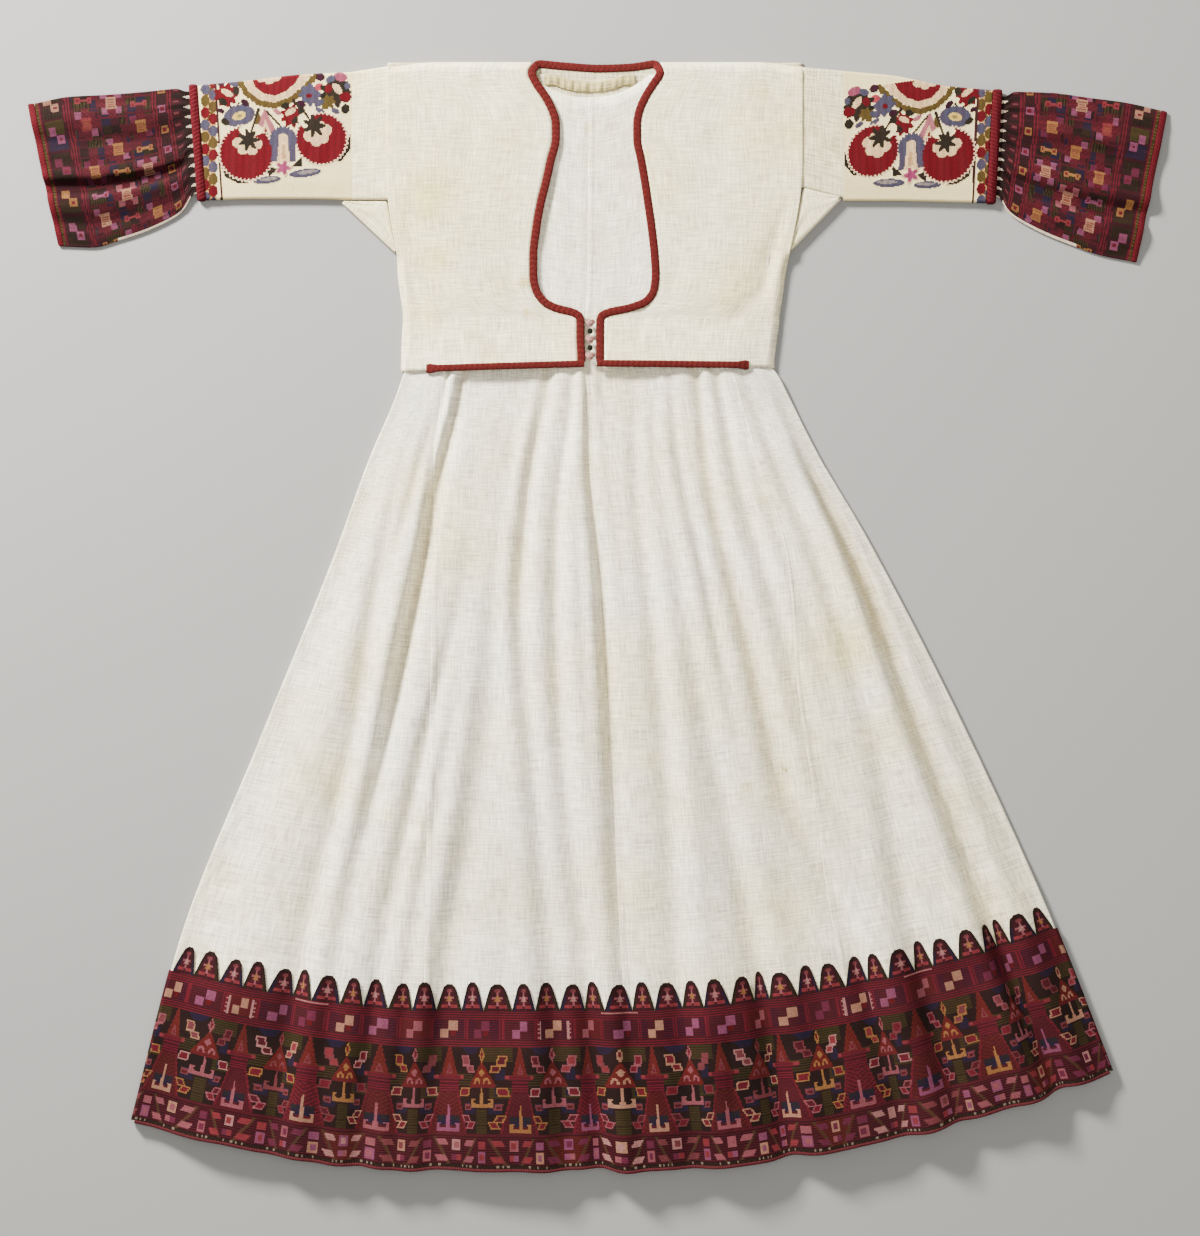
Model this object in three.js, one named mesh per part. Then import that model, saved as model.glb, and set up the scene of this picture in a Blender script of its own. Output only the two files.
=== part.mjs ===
// Embroidered two-layer folk dress, laid out flat and face up: a long cotton chemise with an
// embroidered hem border and flared embroidered sleeve ends, and over it a short cotton jacket
// with embroidered sleeves, red braid and three knot buttons.
// Millimetres. X runs to the right of the laid-out front, Y from hem to neck, Z up from the floor.
import * as THREE from "three";

// ---------- driving dimensions ----------
const CHEMISE_CLOTH = 1.2;
const JACKET_CLOTH = 1.5;
const BORDER_CLOTH = 1.8; // cotton stiffened by dense silk stitching
const BRAID_THICK = 2.6;
const BRAID_WIDTH = 7;
const SEAM_GAP = 0.3;
const WAIST_Y = 245;
const SKIRT_LENGTH = 808; // waist to hem down the middle
const SHOULDER_Y = 560;
const ARCH_COUNT = 38; // scallops across the front of the border
const ARCH_HEIGHT = 0.034; // as a share of the skirt length
const ARCH_FOOT = 0.804; // where the scallops stand, as a share of the skirt length
const LAP_END = 0.84; // the cotton ends here, behind the border
const ARCH_SHARES = [0, 0.27, 0.73]; // a scallop's notch and its two shoulders
const COLUMNS_PER_ARCH = ARCH_SHARES.length;
const JACKET_LAYER = JACKET_CLOTH + SEAM_GAP;
const CHEMISE_LAYER = CHEMISE_CLOTH + SEAM_GAP;
const BORDER_LAYER = BORDER_CLOTH + SEAM_GAP;
const LAP_GAP = 0.9; // between the cotton and the border stitched over it
const BORDER_OUT = CHEMISE_CLOTH / 2 + LAP_GAP + BORDER_CLOTH / 2;

// Sections of the chemise: t is -1 at the shoulder, 0 at the waist and 1 at the hem. left and
// right are the side edges, swell the tallest fold, roll the spare height of the side folds.
const BODY_ROWS = [
  { t: -1.0, left: -189, right: 178, swell: 1.2, roll: 0 },
  { t: -0.4, left: -189, right: 176, swell: 1.4, roll: 0 },
  { t: -0.2, left: -189, right: 172, swell: 2.2, roll: 0 },
  { t: -0.04, left: -189, right: 169, swell: 6.0, roll: 0 },
  { t: 0.02, left: -200, right: 187, swell: 8.0, roll: 0.8 },
  { t: 0.125, left: -232, right: 222, swell: 10.0, roll: 1.6 },
  { t: 0.25, left: -266, right: 273, swell: 12.0, roll: 2.0 },
  { t: 0.5, left: -343, right: 365, swell: 14.0, roll: 2.0 },
  { t: 0.75, left: -420, right: 448, swell: 14.0, roll: 2.0 },
  { t: 1.0, left: -471, right: 521, swell: 13.0, roll: 2.0 },
];
// Where the side gores and the middle seam run, as shares of each row's width.
const SEAM_ROWS = [
  { t: -1.0, gore_l: 0.0, middle: 0.49, gore_r: 1.0 },
  { t: -0.4, gore_l: 0.0, middle: 0.49, gore_r: 1.0 },
  { t: -0.25, gore_l: 0.03, middle: 0.49, gore_r: 0.97 },
  { t: 0.0, gore_l: 0.1, middle: 0.487, gore_r: 0.885 },
  { t: 0.2, gore_l: 0.168, middle: 0.496, gore_r: 0.86 },
  { t: 0.45, gore_l: 0.232, middle: 0.504, gore_r: 0.79 },
  { t: 0.8, gore_l: 0.285, middle: 0.513, gore_r: 0.76 },
  { t: 1.0, gore_l: 0.29, middle: 0.515, gore_r: 0.755 },
];
const GORE_TOP = -0.25;
// How far each row's ends rise above its middle, because the flared skirt is fanned out.
const FAN = {
  left: 47, leftFrom: 0.293, leftPower: 1.6,
  right: 98, rightFrom: 0.518, rightPower: 1.8,
};
const FAN_GROWTH = 0.8;
// The skirt's folds. s_... is where a trough runs and d_... how deep it is, at the waist, a
// quarter, half and three quarters down and at the hem; lean puts the raised roll on one side.
const FOLDS = [
  {
    name: "outer_left", wide: 1.0, lean: 1,
    s: [0.06, 0.084, 0.13, 0.14, 0.145],
    d: [0.0, 0.4, 0.6, 0.6, 0.35],
  },
  {
    name: "notch_left", wide: 0.5, lean: 1,
    s: [0.115, 0.15, 0.155, 0.16, 0.165],
    d: [0.8, 0.0, 0.0, 0.0, 0.0],
  },
  {
    name: "deep_left", wide: 0.9, lean: -1,
    s: [0.158, 0.163, 0.172, 0.178, 0.185],
    d: [1.0, 0.9, 0.7, 0.45, 0.35],
  },
  {
    name: "left_a", wide: 0.8, lean: 1,
    s: [0.235, 0.243, 0.23, 0.229, 0.23],
    d: [0.0, 0.15, 0.55, 0.45, 0.35],
  },
  {
    name: "left_b", wide: 0.8, lean: 1,
    s: [0.27, 0.262, 0.26, 0.262, 0.265],
    d: [0.0, 0.1, 0.4, 0.45, 0.3],
  },
  {
    name: "left_c", wide: 1.1, lean: -1,
    s: [0.33, 0.322, 0.318, 0.305, 0.3],
    d: [0.0, 0.1, 0.2, 0.35, 0.3],
  },
  {
    name: "middle_a", wide: 0.9, lean: -1,
    s: [0.38, 0.35, 0.393, 0.43, 0.445],
    d: [0.8, 0.65, 0.45, 0.45, 0.35],
  },
  {
    name: "middle_b", wide: 0.9, lean: 1,
    s: [0.455, 0.415, 0.436, 0.47, 0.48],
    d: [0.5, 0.55, 0.6, 0.5, 0.6],
  },
  {
    name: "seam_fold", wide: 0.7, lean: -1,
    s: [0.49, 0.497, 0.506, 0.513, 0.52],
    d: [0.55, 0.6, 0.45, 0.25, 0.2],
  },
  {
    name: "middle_c", wide: 1.0, lean: 1,
    s: [0.61, 0.584, 0.583, 0.578, 0.575],
    d: [0.3, 0.45, 0.6, 0.4, 0.35],
  },
  {
    name: "right_a", wide: 0.8, lean: -1,
    s: [0.705, 0.692, 0.69, 0.69, 0.69],
    d: [0.4, 0.5, 0.1, 0.0, 0.0],
  },
  {
    name: "right_b", wide: 0.9, lean: 1,
    s: [0.64, 0.645, 0.654, 0.668, 0.672],
    d: [0.0, 0.1, 0.3, 0.6, 0.5],
  },
  {
    name: "deep_right", wide: 0.9, lean: 1,
    s: [0.785, 0.738, 0.738, 0.782, 0.79],
    d: [0.9, 0.75, 0.75, 0.5, 0.4],
  },
  {
    name: "right_c", wide: 0.8, lean: 1,
    s: [0.838, 0.803, 0.8, 0.83, 0.84],
    d: [0.5, 0.45, 0.1, 0.0, 0.0],
  },
  {
    name: "right_d", wide: 0.9, lean: -1,
    s: [0.91, 0.9, 0.88, 0.85, 0.845],
    d: [0.3, 0.4, 0.3, 0.5, 0.45],
  },
  {
    name: "pleat_right", wide: 0.9, lean: -1,
    s: [0.985, 0.965, 0.943, 0.94, 0.948],
    d: [0.0, 1.0, 1.1, 1.1, 0.8],
  },
];
const FOLD_LEVELS = [0, 0.25, 0.5, 0.75, 1];
const FOLD_WIDE = { waist: 6, growth: 11 }; // half width of a trough at the waist, and what it gains

// Jacket fronts at heights y: side is the outer edge, opening the edge that the braid binds.
const JACKET_LEFT = [
  { y: 560, side: -214, opening: -80 },
  { y: 549, side: -214, opening: -71 },
  { y: 535, side: -214, opening: -65 },
  { y: 522, side: -214, opening: -56 },
  { y: 508, side: -214, opening: -49 },
  { y: 497, side: -214, opening: -46 },
  { y: 482, side: -214, opening: -46 },
  { y: 461, side: -214, opening: -51 },
  { y: 438, side: -214, opening: -56 },
  { y: 418, side: -213, opening: -61 },
  { y: 390, side: -209, opening: -66 },
  { y: 362, side: -204, opening: -69 },
  { y: 342, side: -203, opening: -69 },
  { y: 326, side: -201, opening: -66 },
  { y: 313, side: -199, opening: -57 },
  { y: 305, side: -198, opening: -42 },
  { y: 301, side: -198, opening: -26 },
  { y: 298, side: -198, opening: -21 },
  { y: 280, side: -199, opening: -21 },
  { y: 256, side: -200, opening: -20 },
];
const JACKET_RIGHT = [
  { y: 560, side: 209, opening: 78 },
  { y: 549, side: 209, opening: 68 },
  { y: 535, side: 209, opening: 60 },
  { y: 522, side: 209, opening: 52 },
  { y: 508, side: 209, opening: 46 },
  { y: 497, side: 209, opening: 44 },
  { y: 482, side: 209, opening: 44 },
  { y: 461, side: 209, opening: 48 },
  { y: 438, side: 208, opening: 52 },
  { y: 418, side: 206, opening: 55 },
  { y: 390, side: 201, opening: 59 },
  { y: 362, side: 195, opening: 62 },
  { y: 342, side: 191, opening: 63 },
  { y: 326, side: 189, opening: 61 },
  { y: 313, side: 187, opening: 52 },
  { y: 305, side: 186, opening: 36 },
  { y: 301, side: 185, opening: 18 },
  { y: 298, side: 185, opening: 12 },
  { y: 280, side: 183, opening: 12 },
  { y: 256, side: 180, opening: 12 },
];
const UNDERARM_Y = 362; // below this the jacket's front and back meet in a side fold
const SIDE_FOLD = 9; // how far the side and shoulder folds reach in
const HEM_BRAID_Y = 250; // middle of the braid along the jacket's lower edge
const JACKET_HEM_Y = 246;
// Back of the neck, from the left shoulder to the right.
const BACK_NECK = [
  { x: -61, y: 559 },
  { x: -30, y: 556 },
  { x: 2, y: 554 },
  { x: 32, y: 555 },
  { x: 59, y: 559 },
];

// Sleeve stations from the body outwards: one point on the upper fold and one on the lower, the
// height of the back wall off the floor, and the puff, which is the spare height inside.
const SLEEVES = {
  left: {
    strip: [
      { topX: -214.5, topY: 557, lowX: -214.5, lowY: 419, lift: 0, puff: 1.2 },
      { topX: -250, topY: 551, lowX: -250, lowY: 419, lift: 0, puff: 1.2 },
    ],
    embroidered: [
      { topX: -250.5, topY: 551, lowX: -250.5, lowY: 419, lift: 0, puff: 1.2 },
      { topX: -303, topY: 548, lowX: -300, lowY: 420, lift: 0, puff: 2.5 },
      { topX: -355, topY: 542, lowX: -350, lowY: 420, lift: 0, puff: 2.5 },
      { topX: -407, topY: 537, lowX: -398, lowY: 419, lift: 0, puff: 1.6 },
    ],
    ring: [
      { topX: -407.5, topY: 537.6, lowX: -398.5, lowY: 418.4, lift: 0, puff: 1.8 },
      { topX: -412, topY: 537.8, lowX: -403, lowY: 418.2, lift: 0, puff: 2.4 },
      { topX: -416.5, topY: 537.6, lowX: -407.5, lowY: 418.4, lift: 0, puff: 1.8 },
    ],
    lining: [
      { topX: -191, topY: 546, lowX: -191, lowY: 430, lift: 1.8, puff: 0 },
      { topX: -303, topY: 540, lowX: -300, lowY: 428, lift: 1.8, puff: 0 },
      { topX: -390, topY: 531, lowX: -382, lowY: 426, lift: 1.8, puff: 0 },
    ],
    flare: [
      { topX: -390.5, topY: 531, lowX: -382.5, lowY: 426, lift: 1.8, puff: 0 },
      { topX: -418, topY: 531, lowX: -409, lowY: 425, lift: 1.8, puff: 0.2 },
      { topX: -430, topY: 534, lowX: -424, lowY: 406, lift: 0.2, puff: 3.5 },
      { topX: -462, topY: 531, lowX: -455, lowY: 389, lift: 0, puff: 6 },
      { topX: -500, topY: 528, lowX: -487, lowY: 378, lift: 0, puff: 7 },
      { topX: -538, topY: 526, lowX: -515, lowY: 371, lift: 0, puff: 7 },
      { topX: -574, topY: 519, lowX: -543, lowY: 372, lift: 0, puff: 6 },
    ],
    binding: [
      { topX: -574.5, topY: 519, lowX: -543.5, lowY: 372, lift: 0, puff: 6 },
      { topX: -581, topY: 518, lowX: -549.5, lowY: 373, lift: 0, puff: 6 },
    ],
  },
  right: {
    strip: [
      { topX: 209.5, topY: 556, lowX: 209.5, lowY: 433, lift: 0, puff: 1.2 },
      { topX: 250, topY: 552, lowX: 250, lowY: 423, lift: 0, puff: 1.2 },
    ],
    embroidered: [
      { topX: 250.5, topY: 552, lowX: 250.5, lowY: 418, lift: 0, puff: 1.2 },
      { topX: 303, topY: 547, lowX: 300, lowY: 418, lift: 0, puff: 2.5 },
      { topX: 352, topY: 537, lowX: 350, lowY: 417, lift: 0, puff: 2.5 },
      { topX: 402, topY: 532, lowX: 395, lowY: 416, lift: 0, puff: 1.6 },
    ],
    ring: [
      { topX: 402.5, topY: 532.6, lowX: 395.5, lowY: 415.4, lift: 0, puff: 1.8 },
      { topX: 407.5, topY: 532.8, lowX: 400.5, lowY: 415.2, lift: 0, puff: 2.4 },
      { topX: 412.5, topY: 532.6, lowX: 405.5, lowY: 415.4, lift: 0, puff: 1.8 },
    ],
    lining: [
      { topX: 180, topY: 546, lowX: 180, lowY: 438, lift: 1.8, puff: 0 },
      { topX: 303, topY: 539, lowX: 300, lowY: 427, lift: 1.8, puff: 0 },
      { topX: 385, topY: 526, lowX: 378, lowY: 423, lift: 1.8, puff: 0 },
    ],
    flare: [
      { topX: 385.5, topY: 526, lowX: 378.5, lowY: 423, lift: 1.8, puff: 0 },
      { topX: 414, topY: 526, lowX: 407, lowY: 422, lift: 1.8, puff: 0.2 },
      { topX: 427, topY: 531, lowX: 420, lowY: 405, lift: 0.2, puff: 3.5 },
      { topX: 462, topY: 530, lowX: 452, lowY: 386, lift: 0, puff: 6 },
      { topX: 500, topY: 525, lowX: 484, lowY: 373, lift: 0, puff: 7 },
      { topX: 538, topY: 520, lowX: 513, lowY: 363, lift: 0, puff: 7 },
      { topX: 574, topY: 512, lowX: 543, lowY: 357, lift: 0, puff: 6 },
    ],
    binding: [
      { topX: 574.5, topY: 512, lowX: 543.5, lowY: 357, lift: 0, puff: 6 },
      { topX: 581, topY: 510, lowX: 549.5, lowY: 356, lift: 0, puff: 6 },
    ],
  },
};
// Folds of the flared sleeve ends: where a trough leaves the ring and where it reaches the wrist,
// as shares of the width from the lower fold, and its depth as a share of the puff.
const FLARE_FOLDS = {
  left: [
    { near: 0.3, far: 0.46, depth: 0.75, wide: 0.07 },
    { near: 0.62, far: 0.72, depth: 0.35, wide: 0.09 },
    { near: 0.1, far: 0.16, depth: 0.4, wide: 0.07 },
  ],
  right: [
    { near: 0.28, far: 0.3, depth: 0.6, wide: 0.07 },
    { near: 0.55, far: 0.62, depth: 0.35, wide: 0.1 },
    { near: 0.8, far: 0.84, depth: 0.3, wide: 0.08 },
  ],
};

// Underarm gussets: the corner at the sleeve, the one between sleeve and body, the one at the body.
const GUSSETS = {
  left: { atSleeve: [-262, 417.5], corner: [-214.5, 417.5], atBody: [-205, 364] },
  right: { atSleeve: [250, 421.5], corner: [210, 431.5], atBody: [197, 367] },
};

// The chemise's neckline, and the narrow band that its gathered back is set into.
const NECK = { middle: -8, halfWidth: 62, shoulderY: 548, scoop: 24, napeRise: 17 };
const NECK_BAND = { from: -54, to: 38, depth: 9 };

const BUTTONS = { x: -4.5, ys: [294, 277, 260], width: 10, height: 8, thick: 6 };

// Colours of the cloths and threads.
const COTTON = { color: 0xe9e2cd, roughness: 0.9, metalness: 0 };
const WORN_COTTON = { color: 0xd9d0b6, roughness: 0.92, metalness: 0 };
const RED_BRAID = { color: 0x9c2a2c, roughness: 0.8, metalness: 0 };
const WINE_SILK = { color: 0x6d2238, roughness: 0.65, metalness: 0 };
const FLOWER_SILK = { color: 0xb0605a, roughness: 0.65, metalness: 0 };
const PINK_THREAD = { color: 0xcaa59a, roughness: 0.75, metalness: 0 };

// ---------- small helpers ----------
const clamp01 = (x) => Math.min(1, Math.max(0, x));

function smooth(from, to, x) {
  const k = clamp01((x - from) / (to - from));
  return k * k * (3 - 2 * k);
}

const mix = (a, b, k) => a + (b - a) * k;

/** Monotone curve through the rows' values of one column. */
function along(rows, key, column, at) {
  const last = rows.length - 1;
  const falling = rows[0][key] > rows[last][key];
  const place = (r) => (falling ? -r[key] : r[key]);
  const x = falling ? -at : at;
  if (x <= place(rows[0])) return rows[0][column];
  if (x >= place(rows[last])) return rows[last][column];
  let i = 0;
  while (x > place(rows[i + 1])) i += 1;
  const slope = (k) =>
    (rows[k + 1][column] - rows[k][column]) / (place(rows[k + 1]) - place(rows[k]));
  const tangent = (k) => {
    if (k === 0) return slope(0);
    if (k === last) return slope(last - 1);
    const [before, after] = [slope(k - 1), slope(k)];
    return before * after <= 0 ? 0 : (2 * before * after) / (before + after);
  };
  const span = place(rows[i + 1]) - place(rows[i]);
  const k = (x - place(rows[i])) / span;
  const [m0, m1] = [tangent(i) * span, tangent(i + 1) * span];
  return (
    (2 * k ** 3 - 3 * k ** 2 + 1) * rows[i][column] +
    (k ** 3 - 2 * k ** 2 + k) * m0 +
    (3 * k ** 2 - 2 * k ** 3) * rows[i + 1][column] +
    (k ** 3 - k ** 2) * m1
  );
}

/** Unit normals of a grid of points; a closed grid wraps round its columns. */
function gridNormals(grid, closed) {
  const columns = grid[0].length;
  const step = (r, c, dr, dc) => {
    const row = grid[Math.min(grid.length - 1, Math.max(0, r + dr))];
    const at = closed ? (c + dc + columns) % columns : Math.min(columns - 1, Math.max(0, c + dc));
    return row[at];
  };
  return grid.map((row, r) =>
    row.map((_, c) => {
      const across = step(r, c, 0, 1).clone().sub(step(r, c, 0, -1));
      const down = step(r, c, 1, 0).clone().sub(step(r, c, -1, 0));
      return down.cross(across).normalize();
    }),
  );
}

/**
 * A closed wall of cloth on a grid of points: its middle stands `out` from them along their
 * normals, and its two faces half a thickness to each side of that.
 */
function wall(grid, thickness, { closed = false, out = 0, turned = () => false, normals = gridNormals(grid, closed) } = {}) {
  const rows = grid.length;
  const columns = grid[0].length;
  const count = rows * columns;
  const face = (distance) =>
    grid.flatMap((row, r) => row.map((p, c) => p.clone().addScaledVector(normals[r][c], distance)));
  const points = [...face(out + thickness / 2), ...face(out - thickness / 2)];
  const faces = [];
  const quad = (a, b, c, d) => faces.push(a, b, c, a, c, d);
  const at = (r, c) => r * columns + (c % columns);
  const lastColumn = closed ? columns : columns - 1;
  for (let r = 0; r + 1 < rows; r += 1) {
    for (let c = 0; c < lastColumn; c += 1) {
      const [p, q, s, t] = [at(r, c), at(r, c + 1), at(r + 1, c + 1), at(r + 1, c)];
      if (turned(r, c)) {
        quad(q, s, t, p);
        quad(count + s, count + q, count + p, count + t);
      } else {
        quad(p, q, s, t);
        quad(count + t, count + s, count + q, count + p);
      }
    }
  }
  for (let c = 0; c < lastColumn; c += 1) {
    const [top, next] = [at(0, c), at(0, c + 1)];
    quad(count + top, count + next, next, top);
    const [low, after] = [at(rows - 1, c), at(rows - 1, c + 1)];
    quad(low, after, count + after, count + low);
  }
  if (!closed) {
    for (let r = 0; r + 1 < rows; r += 1) {
      const [left, below] = [at(r, 0), at(r + 1, 0)];
      quad(left, below, count + below, count + left);
      const [right, under] = [at(r, columns - 1), at(r + 1, columns - 1)];
      quad(count + right, count + under, under, right);
    }
  }
  return facingOut(points, faces);
}

/** A geometry from points and faces, turned so that it encloses a positive volume. */
function facingOut(points, faces) {
  let volume = 0;
  for (let i = 0; i < faces.length; i += 3) {
    const [a, b, c] = [points[faces[i]], points[faces[i + 1]], points[faces[i + 2]]];
    volume += a.dot(b.clone().cross(c));
  }
  if (volume < 0) {
    for (let i = 0; i < faces.length; i += 3) {
      [faces[i + 1], faces[i + 2]] = [faces[i + 2], faces[i + 1]];
    }
  }
  const geometry = new THREE.BufferGeometry().setFromPoints(points);
  geometry.setIndex(faces);
  geometry.computeVertexNormals();
  return geometry;
}

const dress = new THREE.Group();

function sew(name, geometry, look) {
  const piece = new THREE.Mesh(geometry, new THREE.MeshStandardMaterial(look));
  piece.name = name;
  dress.add(piece);
}

// ---------- the chemise's surface ----------
function fanRise(s, t) {
  const left = clamp01((FAN.leftFrom - s) / FAN.leftFrom) ** FAN.leftPower;
  const right = clamp01((s - FAN.rightFrom) / (1 - FAN.rightFrom)) ** FAN.rightPower;
  return (FAN.left * left + FAN.right * right) * Math.max(0, t) ** FAN_GROWTH;
}

/** Upper edge of the chemise's front: the shoulder, scooped at the neck. */
function chemiseTop(x) {
  const fromMiddle = clamp01(Math.abs(x - NECK.middle) / NECK.halfWidth);
  return NECK.shoulderY - NECK.scoop * (1 - fromMiddle ** 2.2);
}

/** Upper edge of its back, which stands higher at the nape. */
const backTop = (x) => Math.min(chemiseTop(x) + NECK.napeRise, NECK.shoulderY);

/** Value of a fold's column at t, through its five levels. */
function foldAt(values, t) {
  const rows = FOLD_LEVELS.map((level, i) => ({ t: level, v: values[i] }));
  return along(rows, "t", "v", t);
}

/** Height of the folds from 0 in the deepest trough to 1 on the tallest roll. */
function foldShare(s, t) {
  const width = along(BODY_ROWS, "t", "right", t) - along(BODY_ROWS, "t", "left", t);
  const reach = FOLD_WIDE.waist + FOLD_WIDE.growth * clamp01(t);
  let share = 0.52 + 0.07 * Math.sin(31 * s + 2 * t) + 0.05 * Math.sin(57 * s - 3 * t + 1);
  for (const fold of FOLDS) {
    const depth = foldAt(fold.d, t);
    if (depth < 0.01) continue;
    const off = ((s - foldAt(fold.s, t)) * width) / (reach * fold.wide);
    share -= 0.62 * depth * Math.exp(-(off ** 2));
    share += 0.4 * depth * Math.exp(-(((off - 1.9 * fold.lean) / 1.1) ** 2));
    share += 0.15 * depth * Math.exp(-(((off + 2.3 * fold.lean) / 1.5) ** 2));
  }
  return clamp01(0.02 + 0.96 * smooth(-0.35, 1.25, share));
}

/** Height of the chemise's back off the floor, under its own wall. */
function backLift(t) {
  const overJacket = JACKET_LAYER * (1 - smooth(0.0, 0.07, t));
  const overBorder = BORDER_LAYER * smooth(0.68, 0.76, t);
  return overJacket + overBorder;
}

const backMiddle = (t) => backLift(t) + CHEMISE_CLOTH / 2;

/** A point of the chemise's front, in the middle of its cloth. */
function frontPoint(s, t) {
  const left = along(BODY_ROWS, "t", "left", t);
  const right = along(BODY_ROWS, "t", "right", t);
  const x = mix(left, right, s);
  const y = t < 0 ? mix(WAIST_Y, chemiseTop(x), -t) : WAIST_Y - SKIRT_LENGTH * t + fanRise(s, t);
  const edge = smooth(0.01, 0.09, s) * smooth(0.0, 0.045, 1 - s);
  const swell = along(BODY_ROWS, "t", "swell", t);
  const z = backMiddle(t) + CHEMISE_LAYER + along(BODY_ROWS, "t", "roll", t);
  return new THREE.Vector3(x, y, z + swell * edge * foldShare(s, t));
}

/** A point of the chemise's back, which lies flat. */
function backPoint(s, t) {
  const p = frontPoint(s, t);
  p.z = backMiddle(t);
  if (t < 0) p.y = mix(WAIST_Y, backTop(p.x), -t);
  return p;
}

/** Share across a row of the column u, which is a share of the row through the scallops' feet. */
function acrossAt(u, t) {
  const knots = [0, 0.285, 0.513, 0.76, 1];
  const seams = ["gore_l", "middle", "gore_r"].map((name) => along(SEAM_ROWS, "t", name, t));
  const shares = [0, ...seams, 1];
  let i = 0;
  while (i < 3 && u > knots[i + 1]) i += 1;
  return mix(shares[i], shares[i + 1], (u - knots[i]) / (knots[i + 1] - knots[i]));
}

/** Column places that put the same length of cloth into each scallop. */
function archColumns() {
  const steps = 2000;
  const lengths = [0];
  let before = frontPoint(0, ARCH_FOOT);
  for (let i = 1; i <= steps; i += 1) {
    const here = frontPoint(i / steps, ARCH_FOOT);
    lengths.push(lengths[i - 1] + here.distanceTo(before));
    before = here;
  }
  const columns = [];
  let i = 0;
  for (let c = 0; c <= ARCH_COUNT * COLUMNS_PER_ARCH; c += 1) {
    const arches = Math.floor(c / COLUMNS_PER_ARCH) + ARCH_SHARES[c % COLUMNS_PER_ARCH];
    const wanted = (lengths[steps] * arches) / ARCH_COUNT;
    while (i < steps && lengths[i] < wanted) i += 1;
    columns.push(i / steps);
  }
  return columns;
}

const COLUMNS = archColumns();
const nearestColumn = (u) =>
  COLUMNS.reduce((best, c, i) => (Math.abs(c - u) < Math.abs(COLUMNS[best] - u) ? i : best), 0);
const SEAM_AT = { gore_l: nearestColumn(0.285), middle: nearestColumn(0.513), gore_r: nearestColumn(0.76) };
COLUMNS[SEAM_AT.gore_l] = 0.285;
COLUMNS[SEAM_AT.middle] = 0.513;
COLUMNS[SEAM_AT.gore_r] = 0.76;

/** The half turn of cloth at a side, from the front down to the back. */
function sideTurn(t, onLeft) {
  const s = onLeft ? 0 : 1;
  const [front, back] = [frontPoint(s, t), backPoint(s, t)];
  const radius = (front.z - back.z) / 2;
  return [0.25, 0.5, 0.75].map((k) => {
    const angle = Math.PI * k;
    const out = (onLeft ? -1 : 1) * radius * Math.sin(angle);
    return new THREE.Vector3(front.x + out, front.y, back.z + radius * (1 + Math.cos(angle)));
  });
}

const ARCH_TOP = ARCH_FOOT - ARCH_HEIGHT;
const LEVELS = [
  -1, -0.74, -0.48, GORE_TOP, -0.06, 0.02, 0.1, 0.22, 0.36, 0.52, 0.68,
  ARCH_TOP, LAP_END, 0.92, 1,
];
const ROW = {
  goreTop: LEVELS.indexOf(GORE_TOP),
  archTop: LEVELS.indexOf(ARCH_TOP),
  lapEnd: LEVELS.indexOf(LAP_END),
};
const TURN = 3; // points round a side fold
const STRIP = 3; // points across a gore's strip of the back
const GORE_BACK_SHARE = 0.16; // how far a gore reaches round onto the back
const goreReach = (t) => GORE_BACK_SHARE * smooth(GORE_TOP - 0.3, 0.4, t);

/** One row round the chemise: the gore's strip of back, the fold, the front, and so on round. */
function roundRow(t) {
  const strip = [1, 0.5, 0].map((k) => k * goreReach(t));
  return [
    ...strip.map((s) => backPoint(s, t)),
    ...sideTurn(t, true).reverse(),
    ...COLUMNS.map((u) => frontPoint(acrossAt(u, t), t)),
    ...sideTurn(t, false),
    ...strip.reverse().map((s) => backPoint(1 - s, t)),
  ];
}

const ROUND = LEVELS.map(roundRow);
const ROUND_NORMALS = gridNormals(ROUND, false);
const FRONT_START = STRIP + TURN;
const FRONT_END = FRONT_START + COLUMNS.length - 1;

const TRIM = 0.22; // a little over half the gap, because the seams run down steep folds

/** A panel between two rows and two columns of the round, a seam's gap from its neighbours. */
// Every other quad of a wide panel is split along its other diagonal, so its facets don't all lean one way.
const alternate = (row, column) => (row + column) % 2 === 1;

function panel(fromRow, toRow, fromColumn, toColumn, turned) {
  const slice = (grid) =>
    grid.slice(fromRow, toRow + 1).map((row) => row.slice(fromColumn, toColumn + 1));
  const points = slice(ROUND).map((row) => row.map((p) => p.clone()));
  trimmed(points);
  return wall(points, CHEMISE_CLOTH, { normals: slice(ROUND_NORMALS), turned });
}

/** Moves the end columns of a grid in, so that neighbours stay a seam's gap apart. */
function trimmed(grid) {
  for (const row of grid) {
    const last = row.length - 1;
    const [start, end] = [row[1].clone().sub(row[0]), row[last - 1].clone().sub(row[last])];
    row[0].addScaledVector(start.normalize(), TRIM);
    row[last].addScaledVector(end.normalize(), TRIM);
  }
  return grid;
}

function chemiseBack() {
  const shares = [0, 0.12, 0.27, 0.36, 0.43, 0.49, 0.55, 0.62, 0.7, 0.86, 1];
  const grid = LEVELS.slice(0, ROW.lapEnd + 1).map((t) => {
    const edge = t < GORE_TOP ? 0 : goreReach(t);
    return shares.map((k) => backPoint(mix(edge, 1 - edge, k), t));
  });
  return wall(trimmed(grid), CHEMISE_CLOTH);
}

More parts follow.
